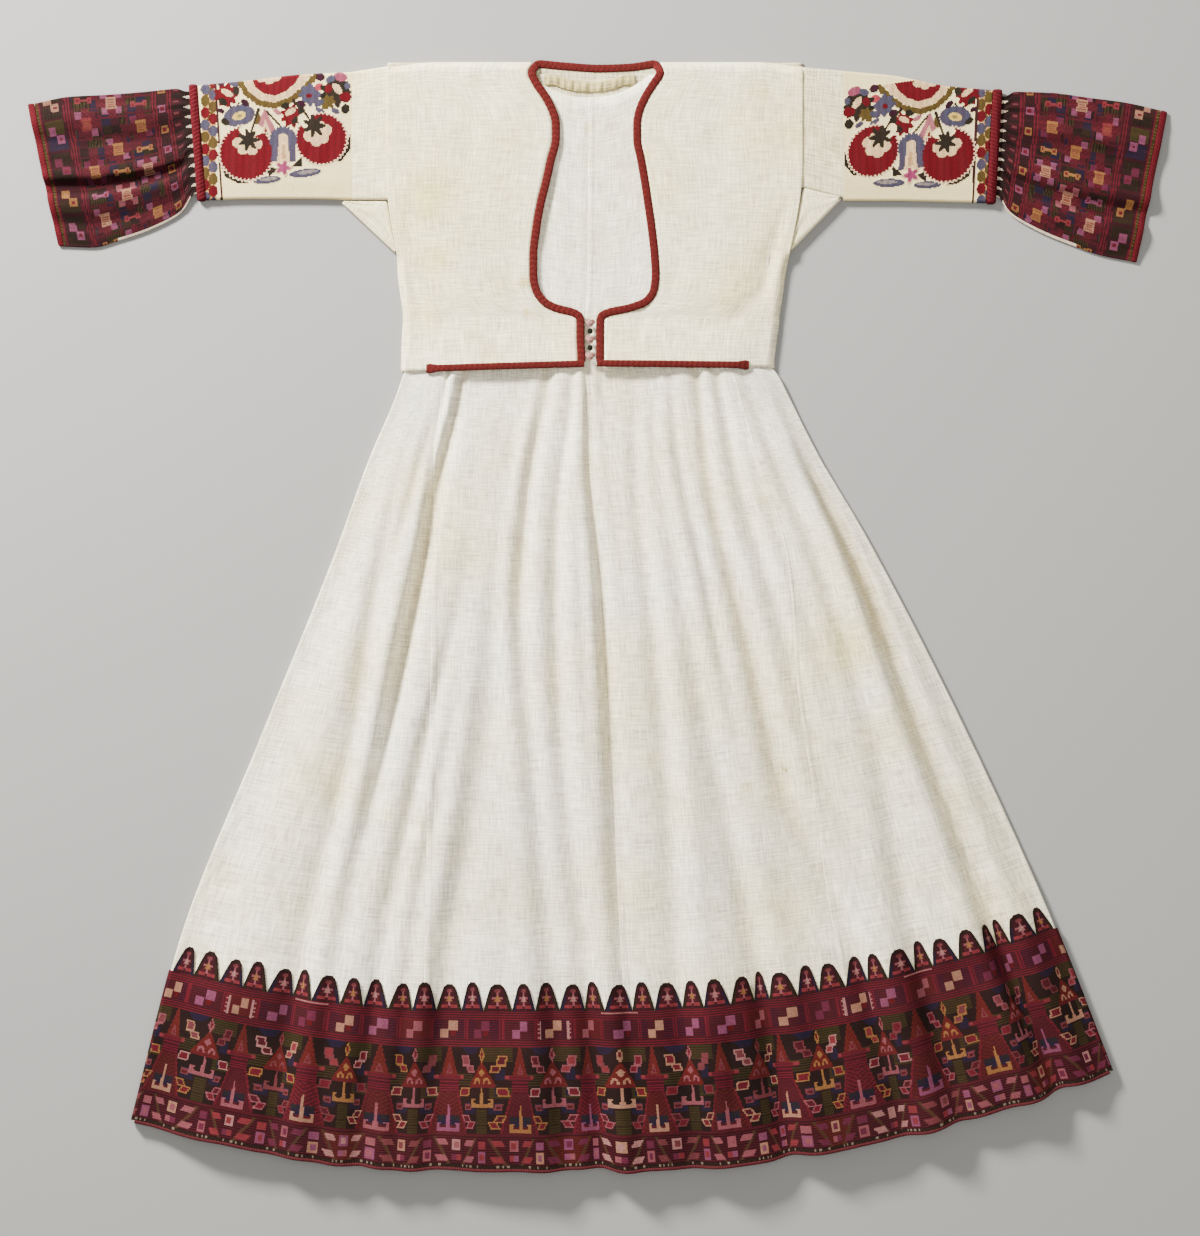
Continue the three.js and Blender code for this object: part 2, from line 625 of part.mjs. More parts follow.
const [GORE_L, MIDDLE, GORE_R] = ["gore_l", "middle", "gore_r"].map((k) => FRONT_START + SEAM_AT[k]);
sew("chemise_front_left", panel(0, ROW.lapEnd, GORE_L, MIDDLE), COTTON);
sew("chemise_front_right", panel(0, ROW.lapEnd, MIDDLE, GORE_R, alternate), COTTON);
sew("chemise_gore_left", panel(ROW.goreTop, ROW.lapEnd, 0, GORE_L), COTTON);
sew("chemise_gore_right", panel(ROW.goreTop, ROW.lapEnd, GORE_R, ROUND[0].length - 1), COTTON);
sew("chemise_back", chemiseBack(), WORN_COTTON);

/** The band along the nape, laid on the chemise's back. */
function neckBand() {
  const z = backMiddle(-1) + CHEMISE_LAYER;
  const across = Array.from({ length: 13 }, (_, i) => mix(NECK_BAND.from, NECK_BAND.to, i / 12));
  const grid = [0.5, NECK_BAND.depth].map((drop) =>
    across.map((x) => new THREE.Vector3(x, backTop(x) - drop, z)),
  );
  return wall(grid, CHEMISE_CLOTH);
}

sew("chemise_neck_band", neckBand(), WORN_COTTON);

// ---------- the embroidered hem border ----------
/** Whether a column of the round is a notch between two scallops; the side folds have none. */
function isNotch(column) {
  const place = column - FRONT_START;
  return place < 0 || place >= COLUMNS.length || place % COLUMNS_PER_ARCH === 0;
}

function borderFront() {
  const notchShare = (ARCH_FOOT - ARCH_TOP) / (LAP_END - ARCH_TOP);
  const cut = (grid) => {
    const [top, lap] = [grid[ROW.archTop], grid[ROW.lapEnd]];
    const scallops = top.map((p, c) => (isNotch(c) ? p.clone().lerp(lap[c], notchShare) : p));
    const rows = [scallops, ...grid.slice(ROW.lapEnd)];
    return rows.map((row) => row.slice(STRIP, FRONT_END + TURN + 1));
  };
  return wall(cut(ROUND), BORDER_CLOTH, { out: BORDER_OUT, normals: cut(ROUND_NORMALS) });
}

const BACK_INSET = 0.006; // how far in from the side folds the back of the border starts

function borderBack() {
  const grid = [0, 1].map((k) =>
    COLUMNS.map((u, c) => {
      const top = c % COLUMNS_PER_ARCH === 0 ? ARCH_FOOT : ARCH_TOP;
      return backPoint(mix(BACK_INSET, 1 - BACK_INSET, u), k === 0 ? top : 1).setZ(BORDER_CLOTH / 2);
    }),
  );
  return wall(grid, BORDER_CLOTH);
}

sew("hem_border_front", borderFront(), WINE_SILK);
sew("hem_border_back", borderBack(), WINE_SILK);

// ---------- piping along the hem ----------
const PIPING_RADIUS = 1.6;
const HEM_SWAY = 1.2; // clears the hem's edge where it leans with a fold
const PIPING_SIDES = 5;

/** A closed tube of a few sides along a row of points that lie side by side. */
function piping(points) {
  const rings = points.map((p, i) => {
    const before = points[Math.max(0, i - 1)];
    const after = points[Math.min(points.length - 1, i + 1)];
    const ahead = after.clone().sub(before).normalize();
    const side = new THREE.Vector3(-ahead.y, ahead.x, 0).normalize();
    const up = ahead.clone().cross(side);
    return Array.from({ length: PIPING_SIDES }, (_, k) => {
      const angle = (2 * Math.PI * (k + 0.5)) / PIPING_SIDES;
      return p
        .clone()
        .addScaledVector(side, PIPING_RADIUS * Math.cos(angle))
        .addScaledVector(up, PIPING_RADIUS * Math.sin(angle));
    });
  });
  const flat = [...rings.flat(), points[0].clone(), points[points.length - 1].clone()];
  const [start, end] = [flat.length - 2, flat.length - 1];
  const faces = [];
  rings.forEach((_, r) => {
    for (let k = 0; k < PIPING_SIDES; k += 1) {
      const next = (k + 1) % PIPING_SIDES;
      const [a, b] = [r * PIPING_SIDES + k, r * PIPING_SIDES + next];
      if (r === 0) faces.push(a, start, b);
      if (r + 1 === rings.length) {
        faces.push(a, b, end);
      } else {
        const [c, d] = [a + PIPING_SIDES, b + PIPING_SIDES];
        faces.push(a, b, d, a, d, c);
      }
    }
  });
  return facingOut(flat, faces);
}

function hemLine(onFront) {
  const every = onFront ? 3 : 6;
  return COLUMNS.filter((_, c) => c % every === 0).map((u) => {
    const p = onFront ? frontPoint(u, 1) : backPoint(mix(BACK_INSET, 1 - BACK_INSET, u), 1);
    p.y -= PIPING_RADIUS + SEAM_GAP + (onFront ? HEM_SWAY : 0);
    p.z = onFront ? p.z + BORDER_OUT : PIPING_RADIUS;
    return p;
  });
}

sew("hem_piping_front", piping(hemLine(true)), RED_BRAID);
sew("hem_piping_back", piping(hemLine(false)), RED_BRAID);

// ---------- the jacket ----------
/** Tallest fold of the chemise at a height, which the jacket has to clear. */
function swellUnder(y) {
  const t = -(y - WAIST_Y) / (NECK.shoulderY - WAIST_Y);
  return Math.max(along(BODY_ROWS, "t", "swell", Math.min(t, 0.02)), 1.2);
}

/** Middle of the jacket front's cloth, at a distance in from its side edge. */
function jacketHeight(x, y, fromSide) {
  const full = JACKET_CLOTH + 2 * CHEMISE_LAYER + 2 * SEAM_GAP + JACKET_CLOTH / 2;
  const folds = 1.2 + (swellUnder(y) - 1.2) * smooth(6, 45, fromSide);
  const ripple = 0.7 * (1 + Math.sin(x / 23 + y / 41)) * smooth(20, 60, fromSide);
  const edge = JACKET_LAYER + JACKET_CLOTH / 2;
  const sideTurnIn = mix(1, Math.sin((Math.PI / 2) * clamp01(fromSide / SIDE_FOLD)), belowUnderarm(y));
  const shoulderTurnIn = Math.sin((Math.PI / 2) * clamp01((SHOULDER_Y - y) / SIDE_FOLD));
  return edge + (full + folds + ripple - edge) * sideTurnIn * shoulderTurnIn;
}

const belowUnderarm = (y) => smooth(UNDERARM_Y + 6, UNDERARM_Y - 6, y) || 0;

/** Heights of a jacket front's rows, from the shoulder down to the braid on its lower edge. */
const JACKET_LEVELS = [
  560, 558, 554.5, 549, 535, 522, 508, 492, 470, 440, 410, 380, 356, 335, 320, 311, 305, 301, 297,
  276, HEM_BRAID_Y + BRAID_WIDTH / 2 + SEAM_GAP,
];

function jacketFront(rows) {
  const onLeft = rows[0].side < 0;
  const shares = [0, 0.015, 0.04, 0.1, 0.24, 0.4, 0.58, 0.8, 1];
  const grid = JACKET_LEVELS.map((y) => {
    const side = along(rows, "y", "side", y);
    const opening = along(rows, "y", "opening", y);
    return shares.map((k) => {
      const x = mix(side, opening, k);
      return new THREE.Vector3(x, y, jacketHeight(x, y, Math.abs(x - side)));
    });
  });
  return wall(onLeft ? grid : grid.map((row) => row.reverse()), JACKET_CLOTH);
}

const NECK_DROP = 11; // the back is cut this much lower where the braid crosses the neck

function jacketBack() {
  const levels = [560, 540, 500, 440, 418, 400, 380, 356, 330, 280, JACKET_HEM_Y];
  const shares = [0, 0.14, 0.27, 0.33, 0.5, 0.67, 0.73, 0.86, 1];
  const grid = levels.map((y) => {
    const left = along(JACKET_LEFT, "y", "side", y);
    const right = along(JACKET_RIGHT, "y", "side", y);
    return shares.map((k) => {
      const x = mix(left, right, k);
      const drop = y === levels[0] ? NECK_DROP * smooth(98, 74, Math.abs(x)) : 0;
      return new THREE.Vector3(x, y - drop, JACKET_CLOTH / 2);
    });
  });
  return wall(grid, JACKET_CLOTH);
}

sew("jacket_front_left", jacketFront(JACKET_LEFT), COTTON);
sew("jacket_front_right", jacketFront(JACKET_RIGHT), COTTON);
sew("jacket_back", jacketBack(), COTTON);

// ---------- red braid on the jacket's edges ----------
const BRAID_CROWN = 0.8;
const BRAID_RISE = 0.55; // the braid is thicker than the cloth beside it
/** Sideways directions along a line, each as long as a corner needs to keep the width. */
function sideways(line) {
  const across = (a, b) => new THREE.Vector2(a.y - b.y, b.x - a.x).normalize();
  return line.map((p, i) => {
    const before = i > 0 ? across(line[i - 1], p) : across(p, line[1]);
    const after = i + 1 < line.length ? across(p, line[i + 1]) : before;
    const middle = before.clone().add(after).normalize();
    return middle.divideScalar(Math.max(0.6, middle.dot(before)));
  });
}

/** A flat braid along a line of middle points, thinner at its edges. */
function braid(line) {
  const sides = sideways(line);
  const grid = line.map((p, i) =>
    [-0.5, 0, 0.5].map((k) => {
      const [dx, dy] = [sides[i].x * k * BRAID_WIDTH, sides[i].y * k * BRAID_WIDTH];
      return new THREE.Vector3(p.x + dx, p.y + dy, p.z + (k === 0 ? BRAID_CROWN : 0));
    }),
  );
  const up = grid.map((row) => row.map(() => new THREE.Vector3(0, 0, 1)));
  return wall(grid, BRAID_THICK, { normals: up });
}

/** Middle line of the braid beside one front's opening edge, from the shoulder down. */
function openingLine(rows) {
  const inward = rows[0].side < 0 ? 1 : -1;
  const edge = JACKET_LEVELS.slice(JACKET_LEVELS.indexOf(549)).map((y) => {
    const x = along(rows, "y", "opening", y);
    return new THREE.Vector3(x, y, jacketHeight(x, y, 100) + BRAID_RISE);
  });
  const sides = sideways(edge);
  const out = inward * (BRAID_WIDTH / 2 + SEAM_GAP);
  return edge.map((p, i) => new THREE.Vector3(p.x + sides[i].x * out, p.y + sides[i].y * out, p.z));
}

function neckBraid() {
  const neckBack = BACK_NECK.map(({ x, y }) => new THREE.Vector3(x, y, BRAID_THICK / 2));
  const leftUp = openingLine(JACKET_LEFT).reverse();
  const rightDown = openingLine(JACKET_RIGHT);
  return braid([...leftUp, ...neckBack, ...rightDown]);
}

/** Braid along the lower edge of one front, from its side to the opening. */
function hemBraid(rows) {
  const [side, opening] = [rows.at(-1).side, rows.at(-1).opening];
  const inset = 26 * Math.sign(opening - side);
  const steps = [0, 0.12, 0.25, 0.38, 0.5, 0.62, 0.75, 0.88, 1];
  return braid(
    steps.map((k) => {
      const x = mix(side + inset, opening - Math.sign(opening - side) * SEAM_GAP, k);
      const height = jacketHeight(x, HEM_BRAID_Y, Math.abs(x - side)) + BRAID_RISE;
      return new THREE.Vector3(x, HEM_BRAID_Y, height);
    }),
  );
}

sew("neck_braid", neckBraid(), RED_BRAID);
sew("hem_braid_left", hemBraid(JACKET_LEFT), RED_BRAID);
sew("hem_braid_right", hemBraid(JACKET_RIGHT), RED_BRAID);

// ---------- sleeves ----------
// Spare height inside a jacket sleeve, for the chemise sleeve that lies in it.
const LINED = 2 * CHEMISE_LAYER + SEAM_GAP;
const SHOULDERING = 0.16; // share of the width over which a puff dies away at each fold
const BACK_STEPS = 4;

/** One ring round a flattened sleeve: the front from the lower fold up, and the back down again. */
function sleeveRing(station, { thickness, inside, steps }, shareOf) {
  const low = new THREE.Vector3(station.lowX, station.lowY, 0);
  const top = new THREE.Vector3(station.topX, station.topY, 0);
  const width = low.distanceTo(top);
  const backZ = station.lift + thickness / 2;
  const radius = (thickness + inside) / 2;
  const inset = (radius + thickness / 2) / width;
  const at = (v, z) => low.clone().lerp(top, v).setZ(z);
  const ring = [];
  for (let i = 0; i <= steps; i += 1) {
    const v = mix(inset, 1 - inset, i / steps);
    const bulge = station.puff * smooth(0, SHOULDERING, v) * smooth(0, SHOULDERING, 1 - v);
    ring.push(at(v, backZ + 2 * radius + bulge * shareOf(v)));
  }
  const turn = (v, outward) =>
    [0.25, 0.5, 0.75].map((k) => {
      const angle = Math.PI * k;
      const out = (radius * Math.sin(angle)) / width;
      return at(v + outward * out, backZ + radius * (1 + Math.cos(angle)));
    });
  ring.push(...turn(1 - inset, 1));
  for (let i = 0; i <= BACK_STEPS; i += 1) ring.push(at(mix(1 - inset, inset, i / BACK_STEPS), backZ));
  ring.push(...turn(inset, -1).reverse());
  return ring;
}

const EVEN_PUFF = () => () => 0.6;

function sleeveTube(stations, cloth, shareFor = EVEN_PUFF) {
  const grid = stations.map((station, i) =>
    sleeveRing(station, cloth, shareFor(i / (stations.length - 1))),
  );
  return wall(grid, cloth.thickness, { closed: true });
}

/** Folds across a flared sleeve end at a share of its length. */
function flareShare(side) {
  return (alongShare) => (v) => {
    let share = 0.62 + 0.08 * Math.sin(17 * v + 3 * alongShare);
    for (const fold of FLARE_FOLDS[side]) {
      const off = (v - mix(fold.near, fold.far, alongShare)) / fold.wide;
      share -= fold.depth * Math.exp(-(off ** 2));
      share += 0.45 * fold.depth * Math.exp(-(((off - 1.9) / 1.1) ** 2));
    }
    return clamp01(share);
  };
}

const OUTER_SLEEVE = { thickness: JACKET_CLOTH, inside: LINED, steps: 8 };
const INNER_SLEEVE = { thickness: CHEMISE_CLOTH, inside: SEAM_GAP, steps: 4 };
const FLARED_SLEEVE = { thickness: CHEMISE_CLOTH, inside: SEAM_GAP, steps: 20 };

for (const side of ["left", "right"]) {
  const cut = SLEEVES[side];
  const wristShare = () => flareShare(side)(1);
  sew(`jacket_sleeve_strip_${side}`, sleeveTube(cut.strip, OUTER_SLEEVE), WORN_COTTON);
  sew(`jacket_sleeve_${side}`, sleeveTube(cut.embroidered, OUTER_SLEEVE), FLOWER_SILK);
  sew(`jacket_cuff_braid_${side}`, sleeveTube(cut.ring, OUTER_SLEEVE), RED_BRAID);
  sew(`chemise_sleeve_${side}`, sleeveTube(cut.lining, INNER_SLEEVE), COTTON);
  sew(`sleeve_end_${side}`, sleeveTube(cut.flare, FLARED_SLEEVE, flareShare(side)), WINE_SILK);
  sew(`wrist_binding_${side}`, sleeveTube(cut.binding, FLARED_SLEEVE, wristShare), RED_BRAID);
}

// ---------- underarm gussets ----------
/** A folded gusset: front from the seams out to the slanting fold, and back again. */
function gusset({ atSleeve, corner, atBody }) {
  const [a, c, b] = [atSleeve, corner, atBody].map(([x, y]) => new THREE.Vector2(x, y));
  const backZ = JACKET_CLOTH / 2;
  const frontZ = backZ + JACKET_CLOTH + LINED;
  const radius = (frontZ - backZ) / 2;
  const outward = new THREE.Vector2(b.y - a.y, a.x - b.x).normalize();
  if (outward.dot(c.clone().sub(a)) > 0) outward.negate();
  const grid = [0.1, 0.3, 0.5, 0.7, 0.9].map((k) => {
    const inner = k < 0.5 ? a.clone().lerp(c, 2 * k) : c.clone().lerp(b, 2 * k - 1);
    const outer = a.clone().lerp(b, k).addScaledVector(outward, -radius - JACKET_CLOTH / 2);
    inner.addScaledVector(outward, 0.8);
    const at = (p, z) => new THREE.Vector3(p.x, p.y, z);
    const turn = [0.25, 0.5, 0.75].map((share) => {
      const angle = Math.PI * share;
      const p = outer.clone().addScaledVector(outward, radius * Math.sin(angle));
      return at(p, backZ + radius * (1 + Math.cos(angle)));
    });
    return [at(inner, frontZ), at(outer, frontZ), ...turn, at(outer, backZ), at(inner, backZ)];
  });
  return wall(grid, JACKET_CLOTH);
}

sew("gusset_left", gusset(GUSSETS.left), COTTON);
sew("gusset_right", gusset(GUSSETS.right), COTTON);

// ---------- knot buttons between the jacket fronts ----------
BUTTONS.ys.forEach((y, i) => {
  const knot = new THREE.SphereGeometry(0.5, 12, 8);
  knot.deleteAttribute("normal");
  knot.deleteAttribute("uv");
  knot.scale(BUTTONS.width, BUTTONS.height, BUTTONS.thick);
  sew(`knot_button_${i + 1}`, knot, PINK_THREAD);
  const button = dress.children.at(-1);
  const rests = jacketHeight(BUTTONS.x, y, 100);
  button.position.set(BUTTONS.x, y, rests + BUTTONS.thick / 2 - 0.4);
});

export default dress;
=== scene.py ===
"""An embroidered folk dress laid out flat: a long cotton chemise under a short braided jacket.

Sizes are in millimetres and become metres where each mesh is made. X runs across the sleeves,
Y from the hem to the neck and Z up from the surface that the dress lies on.
"""

import bpy
import math
import numpy as np
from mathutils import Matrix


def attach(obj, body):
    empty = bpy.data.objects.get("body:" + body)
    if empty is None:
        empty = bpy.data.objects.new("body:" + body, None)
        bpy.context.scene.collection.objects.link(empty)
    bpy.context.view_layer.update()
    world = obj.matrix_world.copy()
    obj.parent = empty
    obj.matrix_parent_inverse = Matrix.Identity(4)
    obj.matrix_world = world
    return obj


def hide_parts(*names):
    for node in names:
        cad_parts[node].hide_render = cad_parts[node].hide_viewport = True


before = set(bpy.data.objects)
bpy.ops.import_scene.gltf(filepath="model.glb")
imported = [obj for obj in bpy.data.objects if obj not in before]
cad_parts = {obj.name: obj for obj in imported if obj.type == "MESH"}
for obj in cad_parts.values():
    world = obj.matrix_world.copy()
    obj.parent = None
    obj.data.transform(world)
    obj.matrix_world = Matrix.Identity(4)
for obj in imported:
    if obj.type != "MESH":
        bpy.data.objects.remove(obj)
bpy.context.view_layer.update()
bpy.ops.object.select_all(action="DESELECT")

# ---------------------------------------------------------------- the table, lamps and camera
# A plain pale table top, lit by a strong lamp beyond the neck that brings out the folds, with
# weak lamps at the hem and overhead. The camera hangs straight above.
MM = 0.001
TABLE_SIZE = 9
TABLE_DROP = 0.0006
VIEW_CENTRE = (2.6, -6.1)
VIEW_HEIGHT = 1260.7
LENS = 85
SENSOR = 36


def table_top():
    bpy.ops.mesh.primitive_plane_add(size=TABLE_SIZE, location=(0, 0, -TABLE_DROP))
    table = bpy.context.object
    table.name = "table_top"
    paint = bpy.data.materials.new("pale_table")
    paint.use_nodes = True
    shader = paint.node_tree.nodes["Principled BSDF"]
    shader.inputs["Base Color"].default_value = (0.30, 0.297, 0.29, 1)
    shader.inputs["Roughness"].default_value = 0.9
    table.data.materials.append(paint)


def lamp(name, place, size, power):
    bpy.ops.object.light_add(type="AREA", location=place)
    light = bpy.context.object
    light.name = name
    light.data.size = size
    light.data.energy = power
    light.data.color = (1.0, 0.975, 0.93)
    aim = np.array(place)
    light.rotation_euler = (
        math.atan2(math.hypot(aim[0], aim[1]), aim[2]),
        0,
        math.atan2(aim[0], -aim[1]),
    )


table_top()
lamp("neck_lamp", (-1.75, 2.2, 1.3), 0.55, 440)
lamp("hem_lamp", (0.8, -2.0, 2.6), 2.4, 14)
lamp("top_lamp", (0.2, 0.0, 3.4), 2.0, 42)
world = bpy.data.worlds.new("studio")
bpy.context.scene.world = world
world.use_nodes = True
world.node_tree.nodes["Background"].inputs["Color"].default_value = (1.0, 0.98, 0.94, 1)
world.node_tree.nodes["Background"].inputs["Strength"].default_value = 0.50

camera_height = LENS * VIEW_HEIGHT / SENSOR * MM
bpy.ops.object.camera_add(location=(VIEW_CENTRE[0] * MM, VIEW_CENTRE[1] * MM, camera_height))
camera = bpy.context.object
camera.name = "camera"
camera.rotation_euler = (0, 0, 0)
camera.data.lens = LENS
camera.data.sensor_fit = "VERTICAL"
camera.data.sensor_height = SENSOR
bpy.context.scene.camera = camera

# ---------------------------------------------------------------- chemise: cut and folds
# The chemise is cut from narrow hand-woven cotton: two fronts that meet in the middle, a back
# and a slanting gore at each side. Laid out, it fans from the waist to the hem in soft folds.
CHEMISE_CLOTH = 1.2
JACKET_CLOTH = 1.5
SEAM_GAP = 0.3
CHEMISE_LAYER = CHEMISE_CLOTH + SEAM_GAP
JACKET_LAYER = JACKET_CLOTH + SEAM_GAP
BORDER_LAYER = 2.1
COTTON_WALL = 0.9
BAND_WALL = 0.8
JACKET_FRONT_WALL = 1.0
JACKET_BACK_WALL = 1.3
WAIST_Y = 245
NECK_X = -8
NECK_Y = 548
NECK_DROP = 24
NECK_HALF = 62
NAPE_RISE = 17
SKIRT_LENGTH = 808
ARCH_COUNT = 38
ARCH_FOOT = 0.804
ARCH_TOP = 0.770
LAP_END = 0.84
SEAM_NICK = 0.0001
GORE_TOP = -0.25
GORE_BACK_SHARE = 0.16
BODY_ROWS = np.array([
    # t, left, right, swell, roll
    (-1.0, -189, 178, 1.2, 0.0),
    (-0.4, -189, 176, 1.4, 0.0),
    (-0.2, -189, 172, 2.2, 0.0),
    (-0.04, -189, 169, 6.0, 0.0),
    (0.02, -200, 187, 8.0, 0.8),
    (0.125, -232, 222, 10.0, 1.6),
    (0.25, -266, 273, 12.0, 2.0),
    (0.5, -343, 365, 14.0, 2.0),
    (0.75, -420, 448, 14.0, 2.0),
    (1.0, -471, 521, 13.0, 2.0),
])
SEAM_ROWS = np.array([
    # t, left gore seam, middle seam, right gore seam
    (-1.0, 0.0, 0.49, 1.0),
    (-0.4, 0.0, 0.49, 1.0),
    (-0.25, 0.03, 0.49, 0.97),
    (0.0, 0.1, 0.487, 0.885),
    (0.2, 0.168, 0.496, 0.86),
    (0.45, 0.232, 0.504, 0.79),
    (0.8, 0.285, 0.513, 0.76),
    (1.0, 0.29, 0.515, 0.755),
])
SEAM_AT = {"gore_l": 0.285, "middle": 0.513, "gore_r": 0.76}
# Troughs: place across and depth at the waist, a quarter, half, three quarters and the hem,
# then how wide each is and on which side its raised roll lies.
FOLD_LEVELS = (0, 0.25, 0.5, 0.75, 1)
FOLDS = {
    "outer_left": ((0.06, 0.084, 0.13, 0.14, 0.145), (0.0, 0.4, 0.6, 0.6, 0.35), 1.0, 1),
    "notch_left": ((0.115, 0.15, 0.155, 0.16, 0.165), (0.8, 0.0, 0.0, 0.0, 0.0), 0.5, 1),
    "deep_left": ((0.158, 0.163, 0.172, 0.178, 0.185), (1.0, 0.9, 0.7, 0.45, 0.35), 0.9, -1),
    "left_a": ((0.235, 0.243, 0.23, 0.229, 0.23), (0.0, 0.15, 0.55, 0.45, 0.35), 0.8, 1),
    "left_b": ((0.27, 0.262, 0.26, 0.262, 0.265), (0.0, 0.1, 0.4, 0.45, 0.3), 0.8, 1),
    "left_c": ((0.33, 0.322, 0.318, 0.305, 0.3), (0.0, 0.1, 0.2, 0.35, 0.3), 1.1, -1),
    "middle_a": ((0.38, 0.35, 0.393, 0.43, 0.445), (0.8, 0.65, 0.45, 0.45, 0.35), 0.9, -1),
    "middle_b": ((0.455, 0.415, 0.436, 0.47, 0.48), (0.5, 0.55, 0.6, 0.5, 0.6), 0.9, 1),
    "seam_fold": ((0.49, 0.497, 0.506, 0.513, 0.52), (0.55, 0.6, 0.45, 0.25, 0.2), 0.7, -1),
    "middle_c": ((0.61, 0.584, 0.583, 0.578, 0.575), (0.3, 0.45, 0.6, 0.4, 0.35), 1.0, 1),
    "right_a": ((0.705, 0.692, 0.69, 0.69, 0.69), (0.4, 0.5, 0.1, 0.0, 0.0), 0.8, -1),
    "right_b": ((0.64, 0.645, 0.654, 0.668, 0.672), (0.0, 0.1, 0.3, 0.6, 0.5), 0.9, 1),
    "deep_right": ((0.785, 0.738, 0.738, 0.782, 0.79), (0.9, 0.75, 0.75, 0.5, 0.4), 0.9, 1),
    "right_c": ((0.838, 0.803, 0.8, 0.83, 0.84), (0.5, 0.45, 0.1, 0.0, 0.0), 0.8, 1),
    "right_d": ((0.91, 0.9, 0.88, 0.85, 0.845), (0.3, 0.4, 0.3, 0.5, 0.45), 0.9, -1),
    "pleat_right": ((0.985, 0.965, 0.943, 0.94, 0.948), (0.0, 1.0, 1.1, 1.1, 0.8), 0.9, -1),
}
# Small creases that lie between the folds: ends across and down, width in mm, depth in mm.
CREASES = (
    (0.966, 0.10, 0.955, 0.46, 7, 3.4),
    (0.115, 0.02, 0.10, 0.30, 6, 2.6),
    (0.36, -0.18, 0.47, -0.07, 7, 1.2),
    (0.58, -0.30, 0.56, -0.10, 8, 0.8),
    (0.30, 0.03, 0.34, 0.30, 4, 0.7),
    (0.42, 0.02, 0.385, 0.22, 3, 0.6),
    (0.53, 0.03, 0.545, 0.35, 4, 0.6),
    (0.56, 0.02, 0.552, 0.25, 3, 0.6),
    (0.65, 0.02, 0.635, 0.18, 4, 0.7),
    (0.74, 0.02, 0.715, 0.16, 3, 0.7),
    (0.20, 0.10, 0.205, 0.45, 4, 0.5),
    (0.11, 0.35, 0.075, 0.74, 5, 0.5),
    (0.62, 0.45, 0.625, 0.80, 5, 0.5),
    (0.48, 0.60, 0.50, 0.98, 6, 0.6),
    (0.37, 0.50, 0.375, 0.95, 5, 0.5),
    (0.72, 0.40, 0.735, 0.97, 6, 0.6),
    (0.90, 0.50, 0.905, 0.97, 5, 0.6),
    (0.53, 0.78, 0.555, 1.0, 7, 0.8),
    (0.08, 0.78, 0.09, 1.0, 7, 0.8),
    (0.25, 0.72, 0.245, 1.0, 6, 0.8),
    (0.63, 0.80, 0.615, 1.0, 6, 0.8),
)


def through(xs, ys, at):
    """A smooth curve through a column of values that never passes beyond them."""
    xs, ys, at = np.asarray(xs, float), np.asarray(ys, float), np.asarray(at, float)
    slopes = np.diff(ys) / np.diff(xs)
    tangents = np.zeros(len(xs))
    tangents[0], tangents[-1] = slopes[0], slopes[-1]
    before, after = slopes[:-1], slopes[1:]
    turning = before * after <= 0
    total = np.where(turning, 1, before + after)
    tangents[1:-1] = np.where(turning, 0, 2 * before * after / total)
    at = np.clip(at, xs[0], xs[-1])
    i = np.clip(np.searchsorted(xs, at) - 1, 0, len(xs) - 2)
    span = xs[i + 1] - xs[i]
    k = (at - xs[i]) / span
    return (
        (2 * k**3 - 3 * k**2 + 1) * ys[i]
        + (k**3 - 2 * k**2 + k) * tangents[i] * span
        + (3 * k**2 - 2 * k**3) * ys[i + 1]
        + (k**3 - k**2) * tangents[i + 1] * span
    )


def smooth(start, end, x):
    k = np.clip((np.asarray(x, float) - start) / (end - start), 0, 1)
    return k * k * (3 - 2 * k)


def mix(a, b, k):
    return a + (b - a) * k


LEFT, RIGHT, SWELL, ROLL = 1, 2, 3, 4


def body_row(t, column):
    return through(BODY_ROWS[:, 0], BODY_ROWS[:, column], t)


def fan_rise(s, t):
    """Rise of the hem towards its corners, in mm."""
    left = 47 * np.clip((0.293 - s) / 0.293, 0, 1) ** 1.6
    right = 98 * np.clip((s - 0.518) / 0.482, 0, 1) ** 1.8
    return (left + right) * np.maximum(t, 0) ** 0.8


def neck_edge(x):
    return NECK_Y - NECK_DROP * (1 - np.clip(np.abs(x - NECK_X) / NECK_HALF, 0, 1) ** 2.2)


def nape_edge(x):
    return np.minimum(neck_edge(x) + NAPE_RISE, NECK_Y)


def fold_share(s, t):
    """Height of the folds, from 0 in the deepest trough to 1 on the tallest roll."""
    width = body_row(t, RIGHT) - body_row(t, LEFT)
    reach = 6 + 11 * np.clip(t, 0, 1)
    share = 0.52 + 0.07 * np.sin(31 * s + 2 * t) + 0.05 * np.sin(57 * s - 3 * t + 1)
    for places, depths, wide, lean in FOLDS.values():
        depth = through(FOLD_LEVELS, depths, t)
        off = (s - through(FOLD_LEVELS, places, t)) * width / (reach * wide)
        share = share - 0.62 * depth * np.exp(-(off**2))
        share = share + 0.4 * depth * np.exp(-(((off - 1.9 * lean) / 1.1) ** 2))
        share = share + 0.15 * depth * np.exp(-(((off + 2.3 * lean) / 1.5) ** 2))
    return np.clip(0.02 + 0.96 * smooth(-0.35, 1.25, share), 0, 1)


def crease_depth(s, t):
    """Depth in mm of the small creases."""
    width = body_row(t, RIGHT) - body_row(t, LEFT)
    depth = np.zeros(np.broadcast(s, t).shape)
    for s0, t0, s1, t1, wide, deep in CREASES:
        k = (t - t0) / (t1 - t0)
        off = (s - mix(s0, s1, k)) * width / wide
        depth += deep * np.exp(-(off**2)) * smooth(0, 0.3, k) * smooth(0, 0.35, 1 - k)
    return depth


